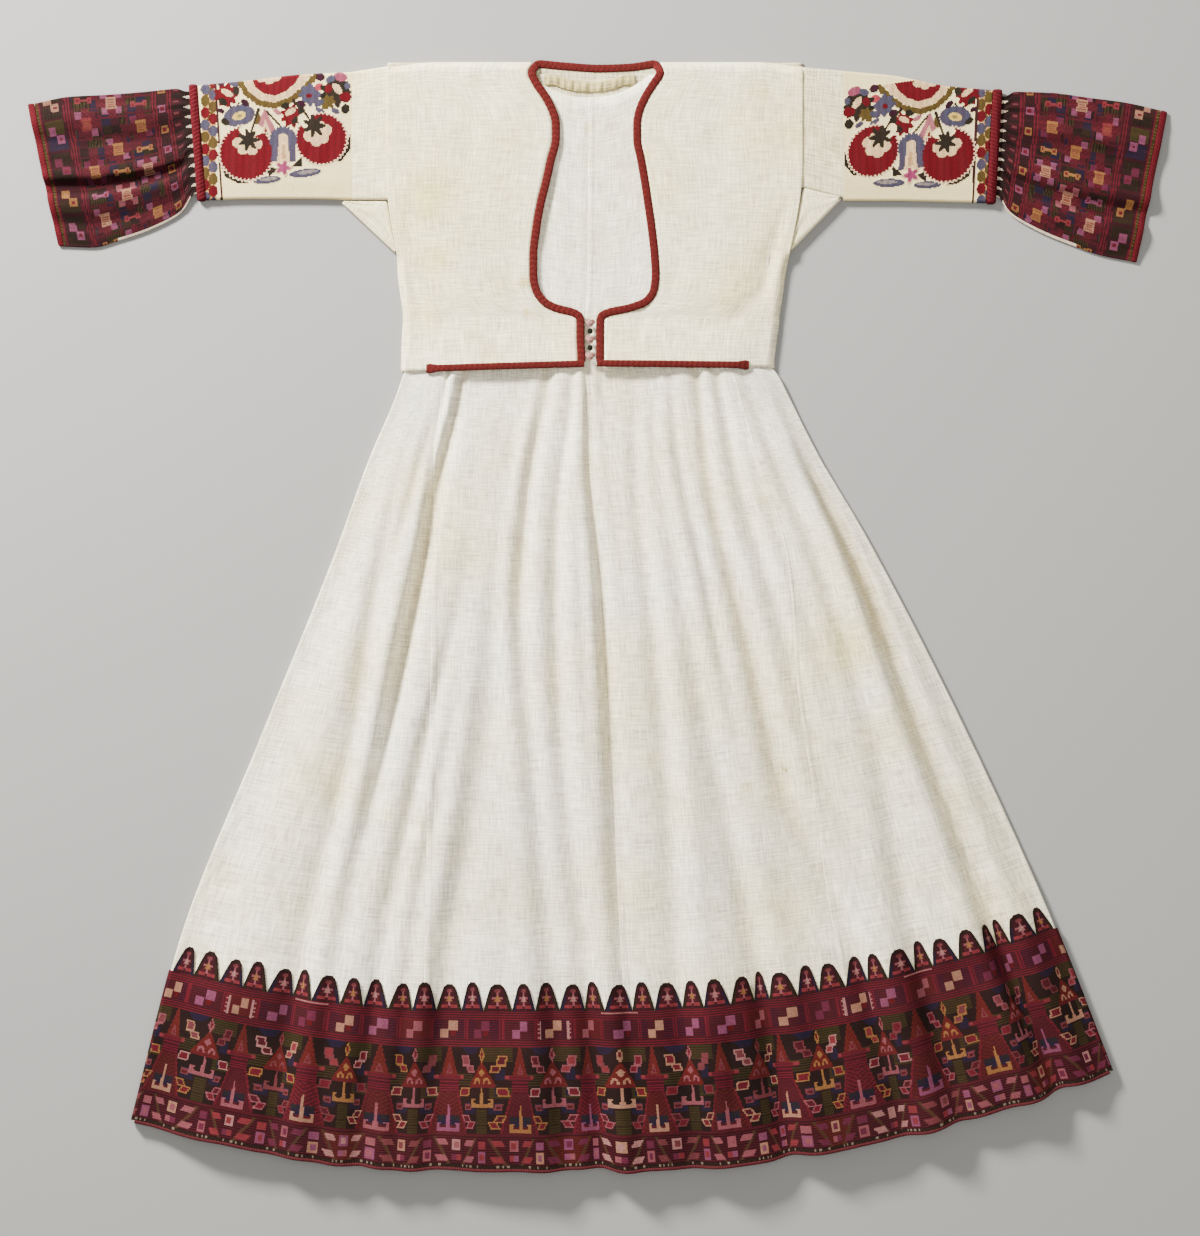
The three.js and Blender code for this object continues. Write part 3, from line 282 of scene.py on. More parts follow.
def back_lift(t):
    return JACKET_LAYER * (1 - smooth(0.0, 0.07, t)) + BORDER_LAYER * smooth(0.68, 0.76, t)


def front_point(s, t):
    """Points of the chemise's front, in the middle of its cloth: arrays of x, y and z."""
    s, t = np.broadcast_arrays(np.asarray(s, float), np.asarray(t, float))
    x = mix(body_row(t, LEFT), body_row(t, RIGHT), s)
    bodice = mix(WAIST_Y, neck_edge(x), -t)
    skirt = WAIST_Y - SKIRT_LENGTH * t + fan_rise(s, t)
    y = np.where(t < 0, bodice, skirt)
    edge = smooth(0.01, 0.09, s) * smooth(0.0, 0.045, 1 - s)
    z = back_lift(t) + CHEMISE_CLOTH / 2 + CHEMISE_LAYER + body_row(t, ROLL)
    slack = smooth(0.165, 0.19, s) * smooth(0.41, 0.385, s)
    slack = slack + smooth(0.505, 0.53, s) * smooth(0.70, 0.675, s)
    slack = slack * smooth(-0.10, -0.02, t) * smooth(0.085, 0.0, t)
    swell = body_row(t, SWELL) * (1 + 0.6 * smooth(0.02, 0.3, t)) * (1 - 0.72 * slack)
    z = z + swell * edge * fold_share(s, t)
    z = z - np.minimum(crease_depth(s, t), 0.5 * body_row(t, SWELL) * edge)
    return np.stack([x, y, z], axis=-1)


def back_point(s, t):
    p = front_point(s, t)
    t = np.broadcast_to(t, p.shape[:-1])
    p[..., 2] = back_lift(t) + CHEMISE_CLOTH / 2
    p[..., 1] = np.where(t < 0, mix(WAIST_Y, nape_edge(p[..., 0]), -t), p[..., 1])
    return p


def across_at(u, t):
    """Share across a row of a thread that starts at share u of the scallops' feet."""
    u, t = np.broadcast_arrays(np.asarray(u, float), np.asarray(t, float))
    knots = [0.0, *SEAM_AT.values(), 1.0]
    shares = [np.zeros_like(t)]
    shares += [through(SEAM_ROWS[:, 0], SEAM_ROWS[:, c], t) for c in (1, 2, 3)]
    shares += [np.ones_like(t)]
    s = np.zeros_like(t)
    for i in range(4):
        k = (u - knots[i]) / (knots[i + 1] - knots[i])
        s = np.where(u >= knots[i], mix(shares[i], shares[i + 1], k), s)
    return np.clip(s, 0, 1)


def side_turn(t, on_left, steps):
    """Rows of points round the half turn of cloth at a side, from the front to the back."""
    s = 0 if on_left else 1
    front, back = front_point(s, t), back_point(s, t)
    radius = (front[..., 2] - back[..., 2]) / 2
    rows = []
    for k in np.linspace(0, 1, steps + 2)[1:-1]:
        p = front.copy()
        p[..., 0] += (-1 if on_left else 1) * radius * math.sin(math.pi * k)
        p[..., 2] = back[..., 2] + radius * (1 + math.cos(math.pi * k))
        rows.append(p)
    return rows


def grid_normals(grid, closed=False):
    """Unit normals of a grid of points, up where the cloth faces up."""
    if closed:
        across = np.roll(grid, -1, axis=1) - np.roll(grid, 1, axis=1)
    else:
        across = np.gradient(grid, axis=1)
    down = np.gradient(grid, axis=0)
    normal = np.cross(down, across)
    return normal / np.maximum(np.linalg.norm(normal, axis=-1, keepdims=True), 1e-9)


def sew(name, grid, uv, closed=False, face_colour=None):
    """A mesh from a grid of points in mm, with a UV map in metres of cloth."""
    rows, columns = grid.shape[:2]
    index = np.arange(rows * columns).reshape(rows, columns)
    right = np.roll(index, -1, axis=1) if closed else index[:, 1:]
    left = index if closed else index[:, :-1]
    quads = np.stack([left[:-1], left[1:], right[1:], right[:-1]], axis=-1).reshape(-1, 4)
    mesh = bpy.data.meshes.new(name)
    mesh.from_pydata((grid.reshape(-1, 3) * MM).tolist(), [], quads.tolist())
    layer = mesh.uv_layers.new(name="cloth")
    uv_left, uv_right = uv[:, :-1], uv[:, 1:]
    corners = np.stack([uv_left[:-1], uv_left[1:], uv_right[1:], uv_right[:-1]], axis=-2)
    layer.data.foreach_set("uv", (corners.reshape(-1, 2) * MM).astype(np.float32).ravel())
    if face_colour is not None:
        stitches = mesh.color_attributes.new("stitches", "BYTE_COLOR", "CORNER")
        rgba = np.ones((len(quads), 4, 4), np.float32)
        rgba[:, :, :3] = face_colour.reshape(-1, 1, 3)
        stitches.data.foreach_set("color_srgb", rgba.ravel())
    mesh.shade_smooth()
    mesh.update()
    piece = bpy.data.objects.new(name, mesh)
    bpy.context.collection.objects.link(piece)
    return piece


def finish(piece, modifier):
    """Applies the piece's only modifier."""
    bpy.ops.object.select_all(action="DESELECT")
    bpy.context.view_layer.objects.active = piece
    piece.select_set(True)
    bpy.ops.object.modifier_apply(modifier=modifier.name)
    piece.select_set(False)


def thicken(piece, thickness):
    shell = piece.modifiers.new("cloth", "SOLIDIFY")
    shell.thickness = thickness * MM
    shell.offset = 0
    shell.use_rim = True
    finish(piece, shell)


def paint_fold_shade(piece, depth):
    """Painted shade in the hollows of the folds and creases: 1 in a deep trough, 0 on a roll."""
    fold_shade = piece.data.attributes.new("fold_shade", "FLOAT", "POINT")
    fold_shade.data.foreach_set("value", np.ascontiguousarray(depth, dtype=np.float32).ravel())


def lengths_uv(grid, closed=False):
    """UV in mm of cloth: across from the middle row, and down from the middle column."""
    middle = grid[len(grid) // 2]
    if closed:
        middle = np.concatenate([middle, middle[:1]])
    across = np.concatenate([[0], np.cumsum(np.linalg.norm(np.diff(middle, axis=0), axis=1))])
    line = grid[:, grid.shape[1] // 2]
    down = np.concatenate([[0], np.cumsum(np.linalg.norm(np.diff(line, axis=0), axis=1))])
    u, v = np.meshgrid(across - across[-1] / 2, -down)
    return np.stack([u, v], axis=-1)


# ---- the cotton: plain weave with thick and thin threads, yellowed and stained with age


def new_group(name, inputs, outputs):
    group = bpy.data.node_groups.new(name, "ShaderNodeTree")
    for label, kind, value in inputs:
        socket = group.interface.new_socket(label, in_out="INPUT", socket_type=kind)
        socket.default_value = value
    for label, kind in outputs:
        group.interface.new_socket(label, in_out="OUTPUT", socket_type=kind)
    start = group.nodes.new("NodeGroupInput")
    end = group.nodes.new("NodeGroupOutput")
    return group, start, end


def add_node(tree, kind, settings=None, **inputs):
    """A node with its settings, whose inputs are values or the sockets to link."""
    node = tree.nodes.new(kind)
    for key, value in (settings or {}).items():
        setattr(node, key, value)
    for key, value in inputs.items():
        name = key.replace("_", " ").strip()
        socket = node.inputs[int(name)] if name.isdigit() else node.inputs[name]
        if isinstance(value, bpy.types.NodeSocket):
            tree.links.new(value, socket)
        else:
            socket.default_value = value
    return node


def maths(tree, operation, a, b=0.0, c=0.0):
    node = add_node(tree, "ShaderNodeMath", {"operation": operation}, _0=a, _1=b, _2=c)
    return node.outputs[0]


def blended(tree, mode, factor, a, b):
    settings = {"data_type": "RGBA", "blend_type": mode}
    node = add_node(tree, "ShaderNodeMix", settings, _0=factor, _6=a, _7=b)
    return node.outputs[2]


def weave_group():
    """Plain weave on the cloth's own UV: height, slubs and a fine speckle of light and dark."""
    group, start, end = new_group(
        "plain_weave",
        [("Threads", "NodeSocketFloat", 900.0), ("Slub", "NodeSocketFloat", 1.0)],
        [("Height", "NodeSocketFloat"), ("Slubs", "NodeSocketFloat")],
    )
    uv = add_node(group, "ShaderNodeUVMap", {"uv_map": "cloth"}).outputs["UV"]
    parts = add_node(group, "ShaderNodeSeparateXYZ", Vector=uv)
    turn = maths(group, "MULTIPLY", start.outputs["Threads"], 2 * math.pi)
    warp = maths(group, "SINE", maths(group, "MULTIPLY", parts.outputs["X"], turn))
    weft = maths(group, "SINE", maths(group, "MULTIPLY", parts.outputs["Y"], turn))
    cross = maths(group, "MULTIPLY", warp, weft)

    def streaks(scale, seed):
        place = add_node(group, "ShaderNodeMapping", Vector=uv, Scale=scale, Location=seed)
        noise = add_node(
            group, "ShaderNodeTexNoise", Vector=place.outputs[0], Scale=1.0, Detail=3.0
        )
        return noise.outputs[0]

    across = streaks((45, 620, 1), (3, 1, 0))
    down = streaks((620, 45, 1), (7, 2, 0))
    both = maths(group, "ADD", across, down)
    centred = maths(group, "SUBTRACT", both, 1.0)
    slubs = maths(group, "MULTIPLY", centred, start.outputs["Slub"])
    height = maths(group, "MULTIPLY_ADD", cross, 0.22, slubs)
    group.links.new(height, end.inputs["Height"])
    group.links.new(slubs, end.inputs["Slubs"])
    return group


def stain_group():
    """A soft uneven spot at a place on the dress, in metres: 1 in its middle, 0 outside."""
    group, start, end = new_group(
        "stain",
        [
            ("Place", "NodeSocketVector", (0, 0, 0)),
            ("Reach", "NodeSocketFloat", 0.02),
            ("Ragged", "NodeSocketFloat", 0.012),
        ],
        [("Mask", "NodeSocketFloat")],
    )
    place = add_node(group, "ShaderNodeTexCoord").outputs["Object"]
    noise = add_node(group, "ShaderNodeTexNoise", Vector=place, Scale=70.0, Detail=3.0)
    flat = add_node(
        group, "ShaderNodeVectorMath", {"operation": "MULTIPLY"}, _0=place, _1=(1, 1, 0)
    )
    distance = add_node(
        group,
        "ShaderNodeVectorMath",
        {"operation": "DISTANCE"},
        _0=flat.outputs[0],
        _1=start.outputs["Place"],
    )
    ragged = maths(group, "MULTIPLY", noise.outputs[0], start.outputs["Ragged"])
    edge = maths(group, "ADD", distance.outputs["Value"], ragged)
    share = maths(group, "DIVIDE", edge, start.outputs["Reach"])
    mask = add_node(
        group,
        "ShaderNodeMapRange",
        {"interpolation_type": "SMOOTHSTEP"},
        Value=share,
        From_Min=0.25,
        From_Max=1.15,
        To_Min=1.0,
        To_Max=0.0,
    )
    group.links.new(mask.outputs[0], end.inputs["Mask"])
    return group


WEAVE = weave_group()
STAIN = stain_group()


def cotton(name, colour, shade, stains=(), slub=1.0):
    """Old white cotton. Stains are places in mm with a reach in mm, a strength and a colour."""
    material = bpy.data.materials.new(name)
    material.use_nodes = True
    tree = material.node_tree
    shader = tree.nodes["Principled BSDF"]
    weave = add_node(tree, "ShaderNodeGroup", {"node_tree": WEAVE}, Threads=800.0, Slub=slub)
    place = add_node(tree, "ShaderNodeTexCoord").outputs["Object"]
    cloud = add_node(tree, "ShaderNodeTexNoise", Vector=place, Scale=6.5, Detail=4.0, Roughness=0.6)
    patchy = add_node(
        tree, "ShaderNodeMapRange", Value=cloud.outputs[0], From_Min=0.38, From_Max=0.68
    )
    tint = blended(tree, "MIX", patchy.outputs[0], (*colour, 1), (*shade, 1))
    streak = maths(tree, "MULTIPLY_ADD", weave.outputs["Slubs"], 1.15, 0.97)
    mottle = add_node(tree, "ShaderNodeTexNoise", Vector=place, Scale=38.0, Detail=5.0, Roughness=0.7)
    centred = maths(tree, "SUBTRACT", streak, MOTTLE / 2)
    streak = maths(tree, "MULTIPLY_ADD", mottle.outputs[0], MOTTLE, centred)
    grey = add_node(tree, "ShaderNodeCombineColor", Red=streak, Green=streak, Blue=streak)
    tint = blended(tree, "MULTIPLY", 1.0, tint, grey.outputs[0])
    for x, y, reach, strength, stain_colour in stains:
        spot = add_node(
            tree,
            "ShaderNodeGroup",
            {"node_tree": STAIN},
            Place=(x * MM, y * MM, 0),
            Reach=reach * MM,
            Ragged=reach * 0.55 * MM,
        )
        factor = maths(tree, "MULTIPLY", spot.outputs["Mask"], strength)
        tint = blended(tree, "MULTIPLY", factor, tint, (*stain_colour, 1))
    # Painted shade: the base colour is darkened and yellowed in the hollows of the folds and creases.
    fold_shade = add_node(tree, "ShaderNodeAttribute", {"attribute_name": "fold_shade"}).outputs["Fac"]
    tint = blended(tree, "MULTIPLY", maths(tree, "MULTIPLY", fold_shade, 0.62), tint, (*FOLD_SHADE_TINT, 1))
    bump = add_node(
        tree, "ShaderNodeBump", Height=weave.outputs["Height"], Strength=0.8, Distance=0.0005
    )
    rough = maths(tree, "MULTIPLY_ADD", weave.outputs["Slubs"], 0.12, 0.9)
    tree.links.new(tint, shader.inputs["Base Color"])
    tree.links.new(rough, shader.inputs["Roughness"])
    tree.links.new(bump.outputs[0], shader.inputs["Normal"])
    shader.inputs["Sheen Weight"].default_value = 0.12
    shader.inputs["Sheen Roughness"].default_value = 0.5
    shader.inputs["Specular IOR Level"].default_value = 0.25
    return material


# Colour of the painted shade in the hollows of the folds.
FOLD_SHADE_TINT = (0.62, 0.565, 0.42)
MOTTLE = 0.42
RUST = (0.72, 0.64, 0.32)
TEA = (0.83, 0.785, 0.52)
GREY = (0.72, 0.68, 0.60)
CHEMISE_STAINS = (
    (53, -150, 22, 0.55, TEA),
    (152, -178, 10, 0.7, TEA),
    (190, -160, 5, 0.8, RUST),
    (168, 114, 14, 0.5, TEA),
    (60, -275, 60, 0.25, TEA),
    (-212, -205, 12, 0.6, TEA),
    (-180, -215, 16, 0.45, TEA),
    (-130, -250, 26, 0.3, TEA),
    (-290, -290, 60, 0.3, TEA),
    (95, -80, 60, 0.15, GREY),
    (255, -40, 60, 0.6, TEA),
    (300, -120, 60, 0.5, TEA),
    (-5, 150, 40, 0.3, TEA),
    (-10, 492, 10, 0.9, TEA),
    (-9, 455, 9, 0.6, TEA),
    (-12, 400, 12, 0.4, TEA),
    (-230, -60, 70, 0.5, TEA),
    (-270, -170, 70, 0.55, TEA),
    (-90, -290, 90, 0.4, TEA),
    (180, -290, 90, 0.45, TEA),
    (-150, 60, 50, 0.3, TEA),
    (192, -161, 3, 1.0, (0.30, 0.26, 0.20)),
)
CHEMISE_COTTON = cotton("chemise_cotton", (0.94, 0.885, 0.74), (0.88, 0.79, 0.53), CHEMISE_STAINS)


def cloth_piece(piece, node):
    """What every cloth piece says: its body and the solid it stands for."""
    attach(piece, "root")
    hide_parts(node)


def cloth_wall(name, grid, thickness, material, fold_shades=None):
    """A thin wall of cloth on a grid of points, sewn in and named."""
    piece = sew(name, grid, lengths_uv(grid))
    if fold_shades is not None:
        paint_fold_shade(piece, fold_shades)
    thicken(piece, thickness)
    piece.data.materials.append(material)
    cloth_piece(piece, name)


# Share of painted shade: deep in the troughs of the skirt's folds and in the creases.
def fold_shade_share(s, t):
    deep = smooth(0.52, 0.05, fold_share(s, t)) * smooth(-0.3, 0.0, t)
    return np.clip(0.85 * deep + 0.35 * crease_depth(s, t), 0, 1)


def lapped(u, end):
    """Shares across a panel, closer at its seams, with a lap under the neighbour at its end."""
    near = np.array([0.0012, 0.0066, 0.0074])
    u = np.concatenate([u, u[0] + near, u[-1] - near])
    if end:
        u = np.concatenate([u, [u.max() + 0.0006, u.max() + 0.004]])
    return np.sort(u)[None, :]


def felled_seams(grid, u, start, end):
    """Raises the strip where a seam is felled down, and sinks the lap under the next panel."""
    if start:
        off = u - SEAM_AT[start]
        grid[..., 2] += 0.42 * smooth(0.0, 0.0012, off) * smooth(0.0078, 0.0066, off)
    if end:
        grid[..., 2] -= 1.05 * smooth(0.0, 0.0005, u - SEAM_AT[end])


def front_panel(name, start, end):
    """A front from the neck down to where it ends behind the border."""
    u = lapped(np.linspace(SEAM_AT[start] + SEAM_NICK, SEAM_AT[end] - SEAM_NICK, 58), end)
    t = np.concatenate([np.linspace(-1, -0.1, 22), np.linspace(-0.08, LAP_END, 150)])[:, None]
    s = across_at(u, t)
    grid = front_point(s, t)
    felled_seams(grid, u, start, end)
    cloth_wall(
        name, grid, COTTON_WALL, CHEMISE_COTTON,
        fold_shade_share(s, t),
    )


front_panel("chemise_front_left", "gore_l", "middle")
front_panel("chemise_front_right", "middle", "gore_r")

# ---- gores: slanting side pieces, each folded round onto the back


def gore_reach(t):
    return GORE_BACK_SHARE * smooth(GORE_TOP - 0.3, 0.4, t)


def gore(name, on_left):
    t = np.concatenate([np.linspace(GORE_TOP, -0.04, 10), np.linspace(-0.02, LAP_END, 140)])[:, None]
    if on_left:
        u = lapped(np.linspace(0, SEAM_AT["gore_l"] - SEAM_NICK, 62), "gore_l")[:, ::-1]
    else:
        u = lapped(np.linspace(SEAM_AT["gore_r"] + SEAM_NICK, 1, 56), None)
    s = across_at(u, t)
    front = front_point(s, t)
    felled_seams(front, u, None if on_left else "gore_r", "gore_l" if on_left else None)
    turn = np.concatenate(side_turn(t, on_left, 7), axis=1)
    shares = np.linspace(0, 1, 14)[None, :] * gore_reach(t)
    back = back_point(shares if on_left else 1 - shares, t)
    grid = np.concatenate([front, turn, back], axis=1)
    fold_shades = np.zeros(grid.shape[:2])
    fold_shades[:, : front.shape[1]] = fold_shade_share(s, t)
    if on_left:
        grid, fold_shades = grid[:, ::-1], fold_shades[:, ::-1]
    cloth_wall(
        name, grid, COTTON_WALL, CHEMISE_COTTON,
        fold_shades,
    )


gore("chemise_gore_left", True)
gore("chemise_gore_right", False)

# ---- back: flat on the table, gathered into a narrow band at the nape
BAND_COTTON = cotton("band_cotton", (0.52, 0.43, 0.19), (0.38, 0.31, 0.13), slub=1.4)
WORN_COTTON = cotton("worn_cotton", (0.68, 0.62, 0.41), (0.54, 0.48, 0.29), slub=1.3)


def chemise_back():
    t = np.concatenate([np.linspace(-1, -0.9, 12), np.linspace(-0.88, LAP_END, 90)])[:, None]
    k = np.linspace(0.0006, 0.9994, 90)[None, :]
    edge = np.where(t < GORE_TOP, 0, gore_reach(t))
    grid = back_point(mix(edge, 1 - edge, k), t)
    x, y = grid[..., 0], grid[..., 1]
    below_nape = nape_edge(x) - y
    gathers = np.exp(-below_nape / 16) * smooth(60, 40, np.abs(x - NECK_X))
    grid[..., 2] += gathers * 0.5 * (1 + np.sin(x * 1.05 + 0.6 * np.sin(x * 0.23)))
    cloth_wall(
        "chemise_back", grid, COTTON_WALL, WORN_COTTON,
    )


chemise_back()


def neck_band():
    x = np.linspace(-54, 38, 120)
    rows = []
    for k in np.linspace(0, 1, 9):
        y = nape_edge(x) - 0.5 - 11.5 * k
        puff = math.sin(math.pi * k) ** 0.5
        z = 3.4 + puff * (1.3 + 0.9 * np.sin(x * 0.62) * np.sin(x * 0.23 + 1))
        rows.append(np.stack([x, y, z], axis=-1))
    grid = np.stack(rows)
    cloth_wall(
        "chemise_neck_band", grid, BAND_WALL, BAND_COTTON,
    )


neck_band()

# ---------------------------------------------------------------- the jacket
# A short jacket of the same cotton, open in front round the bosom and held by three knots. Its
# back lies on the table and its fronts over the chemise; front and back meet in soft side folds.
JACKET_ROWS = np.array([
    # y, left side edge and opening, right side edge and opening
    (560, -214, -66, 209, 64),
    (549, -214, -71, 209, 68),
    (535, -214, -65, 209, 60),
    (522, -214, -56, 209, 52),
    (508, -214, -49, 209, 46),
    (497, -214, -46, 209, 44),
    (482, -214, -46, 209, 44),
    (461, -214, -51, 209, 48),
    (438, -214, -56, 208, 52),
    (418, -213, -61, 206, 55),
    (390, -209, -66, 201, 59),
    (362, -204, -69, 195, 62),
    (342, -203, -69, 191, 63),
    (326, -201, -66, 189, 61),
    (313, -199, -57, 187, 52),
    (305, -198, -42, 186, 32),
    (301, -198, -26, 185, 13),
    (298, -198, -21, 185, 6.5),
    (280, -199, -21, 183, 6.5),
    (256, -200, -20, 180, 6.5),
])
JACKET_COLUMNS = {"left": {"side": 1, "opening": 2}, "right": {"side": 3, "opening": 4}}
SHOULDER_Y = 560
UNDERARM_Y = 362
SIDE_FOLD = 9
HEM_BRAID_Y = 250
BRAID_WIDTH = 7
BRAID_LIFT = 0.55
FAR_FROM_SIDE = 100.0
JACKET_HEM_Y = 246
# Soft creases of the fronts: ends in x and y, width and depth in mm.
JACKET_CREASES = (
    (-208, 412, -158, 330, 9, 2.4),
    (-203, 372, -180, 296, 7, 2.2),
    (-190, 350, -120, 290, 10, 1.2),
    (-120, 545, -135, 420, 14, 1.1),
    (-95, 400, -80, 300, 10, 1.0),
    (-60, 330, -45, 262, 7, 1.2),
    (202, 420, 160, 335, 9, 2.4),
    (184, 372, 166, 318, 8, 2.6),
    (180, 335, 120, 285, 9, 1.3),
    (120, 545, 128, 430, 14, 1.1),
    (88, 400, 74, 300, 10, 1.0),
    (50, 325, 34, 262, 7, 1.2),
)


def jacket_line(side, edge, y):
    """Where a front's side edge or opening lies, at heights up the jacket."""
    rows = JACKET_ROWS[::-1]
    return through(rows[:, 0], rows[:, JACKET_COLUMNS[side][edge]], y)


def jacket_height(x, y, from_side):
    """Middle of a jacket front's cloth over the chemise, rolled down at its side and shoulder."""
    t = -(y - WAIST_Y) / (NECK_Y - WAIST_Y)
    swell = np.maximum(body_row(np.minimum(t, 0.02), SWELL), 1.2)
    full = JACKET_CLOTH + 2 * CHEMISE_LAYER + 2 * SEAM_GAP + JACKET_CLOTH / 2
    folds = 1.2 + (swell - 1.2) * smooth(6, 45, from_side)
    ripple = 0.7 * (1 + np.sin(x / 23 + y / 41)) * smooth(20, 60, from_side)
    edge = JACKET_LAYER + JACKET_CLOTH / 2
    turned = np.sin(math.pi / 2 * np.clip(from_side / SIDE_FOLD, 0, 1))
    side = mix(1, turned, smooth(UNDERARM_Y + 6, UNDERARM_Y - 6, y))
    shoulder = np.sin(math.pi / 2 * np.clip((SHOULDER_Y - y) / SIDE_FOLD, 0, 1))
    return edge + (full + folds + ripple - edge) * side * shoulder


def hem_lean(x, y):
    """Rise in mm of a jacket front's lower edge, highest at the opening."""
    fall = np.where(x < 0, 5.3 / 174, 1.6 / 154) * np.abs(x)
    return (2.6 - fall) * smooth(292, 252, y)


def jacket_creases(x, y):
    depth = np.zeros(np.broadcast(x, y).shape)
    for x0, y0, x1, y1, wide, deep in JACKET_CREASES:
        along = np.array([x1 - x0, y1 - y0], float)
        length = np.hypot(*along)
        along /= length
        k = ((x - x0) * along[0] + (y - y0) * along[1]) / length
        off = ((x - x0) * along[1] - (y - y0) * along[0]) / wide
        depth += deep * np.exp(-(off**2)) * smooth(-0.1, 0.3, k) * smooth(-0.1, 0.4, 1 - k)
    return depth


JACKET_STAINS = (
    (-74, 336, 13, 0.85, RUST),
    (50, 466, 12, 0.7, TEA),
    (45, 398, 26, 0.5, TEA),
    (-72, 305, 8, 0.7, RUST),
    (-95, 330, 45, 0.5, TEA),
    (-92, 480, 55, 0.5, TEA),
    (-175, 420, 40, 0.75, TEA),
    (-165, 360, 30, 0.5, TEA),
    (140, 330, 50, 0.45, TEA),
    (165, 530, 18, 0.55, TEA),
    (-125, 540, 14, 0.5, TEA),
    (-175, 300, 40, 0.4, TEA),
    (-150, 440, 70, 0.3, TEA),
    (150, 480, 70, 0.3, TEA),
    (-110, 262, 22, 0.55, TEA),
    (-4, 480, 20, 0.3, TEA),
)
JACKET_COTTON = cotton("jacket_cotton", (0.94, 0.86, 0.62), (0.87, 0.75, 0.40), JACKET_STAINS)


def jacket_front(side):
    name = "jacket_front_" + side
    lowest = HEM_BRAID_Y - 2
    y = np.concatenate([
        560 - 9 * np.linspace(0, 1, 7) ** 1.6,
        np.linspace(548, 318, 62),
        np.linspace(316, 296, 16),
        np.linspace(293, lowest, 12),
    ])
    k = np.concatenate([np.linspace(0, 0.06, 9), np.linspace(0.075, 1, 48)])
    y, k = np.meshgrid(y, k, indexing="ij")
    edge, opening = jacket_line(side, "side", y), jacket_line(side, "opening", y)
    x = mix(edge, opening, k)
    from_side = np.abs(x - edge)
    z = jacket_height(x, y, from_side) - jacket_creases(x, y) * smooth(4, 20, from_side)
    y = y - 4.5 * smooth(48, 0, from_side) * smooth(470, 560, y) + hem_lean(x, y)
    grid = np.stack([x, y, z], axis=-1)
    if side == "right":
        grid = grid[:, ::-1]
    cloth_wall(
        name, grid, JACKET_FRONT_WALL, JACKET_COTTON,
    )


def jacket_back():
    y = np.concatenate([np.linspace(560, 545, 8), np.linspace(541, JACKET_HEM_Y, 60)])[:, None]
    k = np.linspace(0, 1, 80)[None, :]
    x = mix(jacket_line("left", "side", y), jacket_line("right", "side", y), k)
    y = np.broadcast_to(y, x.shape) - 6 * smooth(98, 74, np.abs(x)) * smooth(545, 560, y)
    z = np.full(x.shape, JACKET_CLOTH / 2)
    grid = np.stack([x, y, z], axis=-1)
    cloth_wall(
        "jacket_back", grid, JACKET_BACK_WALL, WORN_COTTON,
    )


for side in ("left", "right"):
    jacket_front(side)
jacket_back()

# ---------------------------------------------------------------- the embroidered hem border
# Silk cross stitch and rows of running stitch so dense that the cotton under it is hidden. Four
# lengths are joined at the seams: scallops on top, then squares, cypresses and a zigzag.
ARCH_PITCH = 26.5
SCALLOP_DEEP = 27.0
BORDER_DEEP = 186.0
SQUARES_END = 63.0
CYPRESS_END = 153.0
ZIGZAG_END = 182.0
SILK = {
    "maroon": (0.36, 0.13, 0.19),
    "wine": (0.25, 0.10, 0.15),
    "crimson": (0.46, 0.15, 0.22),
    "red": (0.43, 0.16, 0.19),
    "orange": (0.43, 0.20, 0.17),
    "rust": (0.39, 0.17, 0.14),
    "rose": (0.55, 0.27, 0.30),
    "dusty": (0.50, 0.31, 0.33),
    "pink": (0.60, 0.41, 0.44),
    "pale": (0.68, 0.55, 0.54),
    "lilac": (0.56, 0.37, 0.48),
    "mauve": (0.45, 0.22, 0.33),
    "cream": (0.67, 0.56, 0.48),
    "yellow": (0.62, 0.50, 0.32),
    "green": (0.27, 0.29, 0.14),
    "moss": (0.19, 0.20, 0.11),
    "black": (0.13, 0.12, 0.10),
    "navy": (0.12, 0.15, 0.27),
    "teal": (0.13, 0.19, 0.22),
    "bead": (0.58, 0.56, 0.50),
}
DYE_DEPTH = 1.66
FADED = np.array((0.38, 0.21, 0.21))
chance = np.random.default_rng(7)


def dab(canvas, mask, colour):
    """Paints a mask with a named silk, with one colour, or with an array of colours."""
    colour = np.asarray(SILK[colour] if isinstance(colour, str) else colour)
    canvas[mask] = colour[mask] if colour.shape == canvas.shape else colour


def pick(index, names):
    """Colours for an array of repeat numbers, taken in turn from a list of names."""
    table = np.array([SILK[name] for name in names])
    return table[np.mod(index, len(names)).astype(int)]


def repeats(a, count, phase):
    """Offset in mm from the nearest of a number of repeats, and which one it is."""
    period = ARCH_COUNT / count
    k = np.floor((a - phase) / period + 0.5)
    return (a - phase - k * period) * ARCH_PITCH, k


def box_mask(x, y, x0, x1, y0, y1):
    return (x > x0) & (x < x1) & (y > y0) & (y < y1)


def scallop_share(v):
    """Half width of a scallop as a share of its foot's, at a depth below its top."""
    return 0.37 + 0.63 * np.clip(v / SCALLOP_DEEP, 0, 1) ** 0.78


def stripes(canvas, mask, along, pitch, first, second):
    lit = np.mod(along, pitch) < 0.5 * pitch
    dab(canvas, mask & lit, first)
    dab(canvas, mask & ~lit, second)


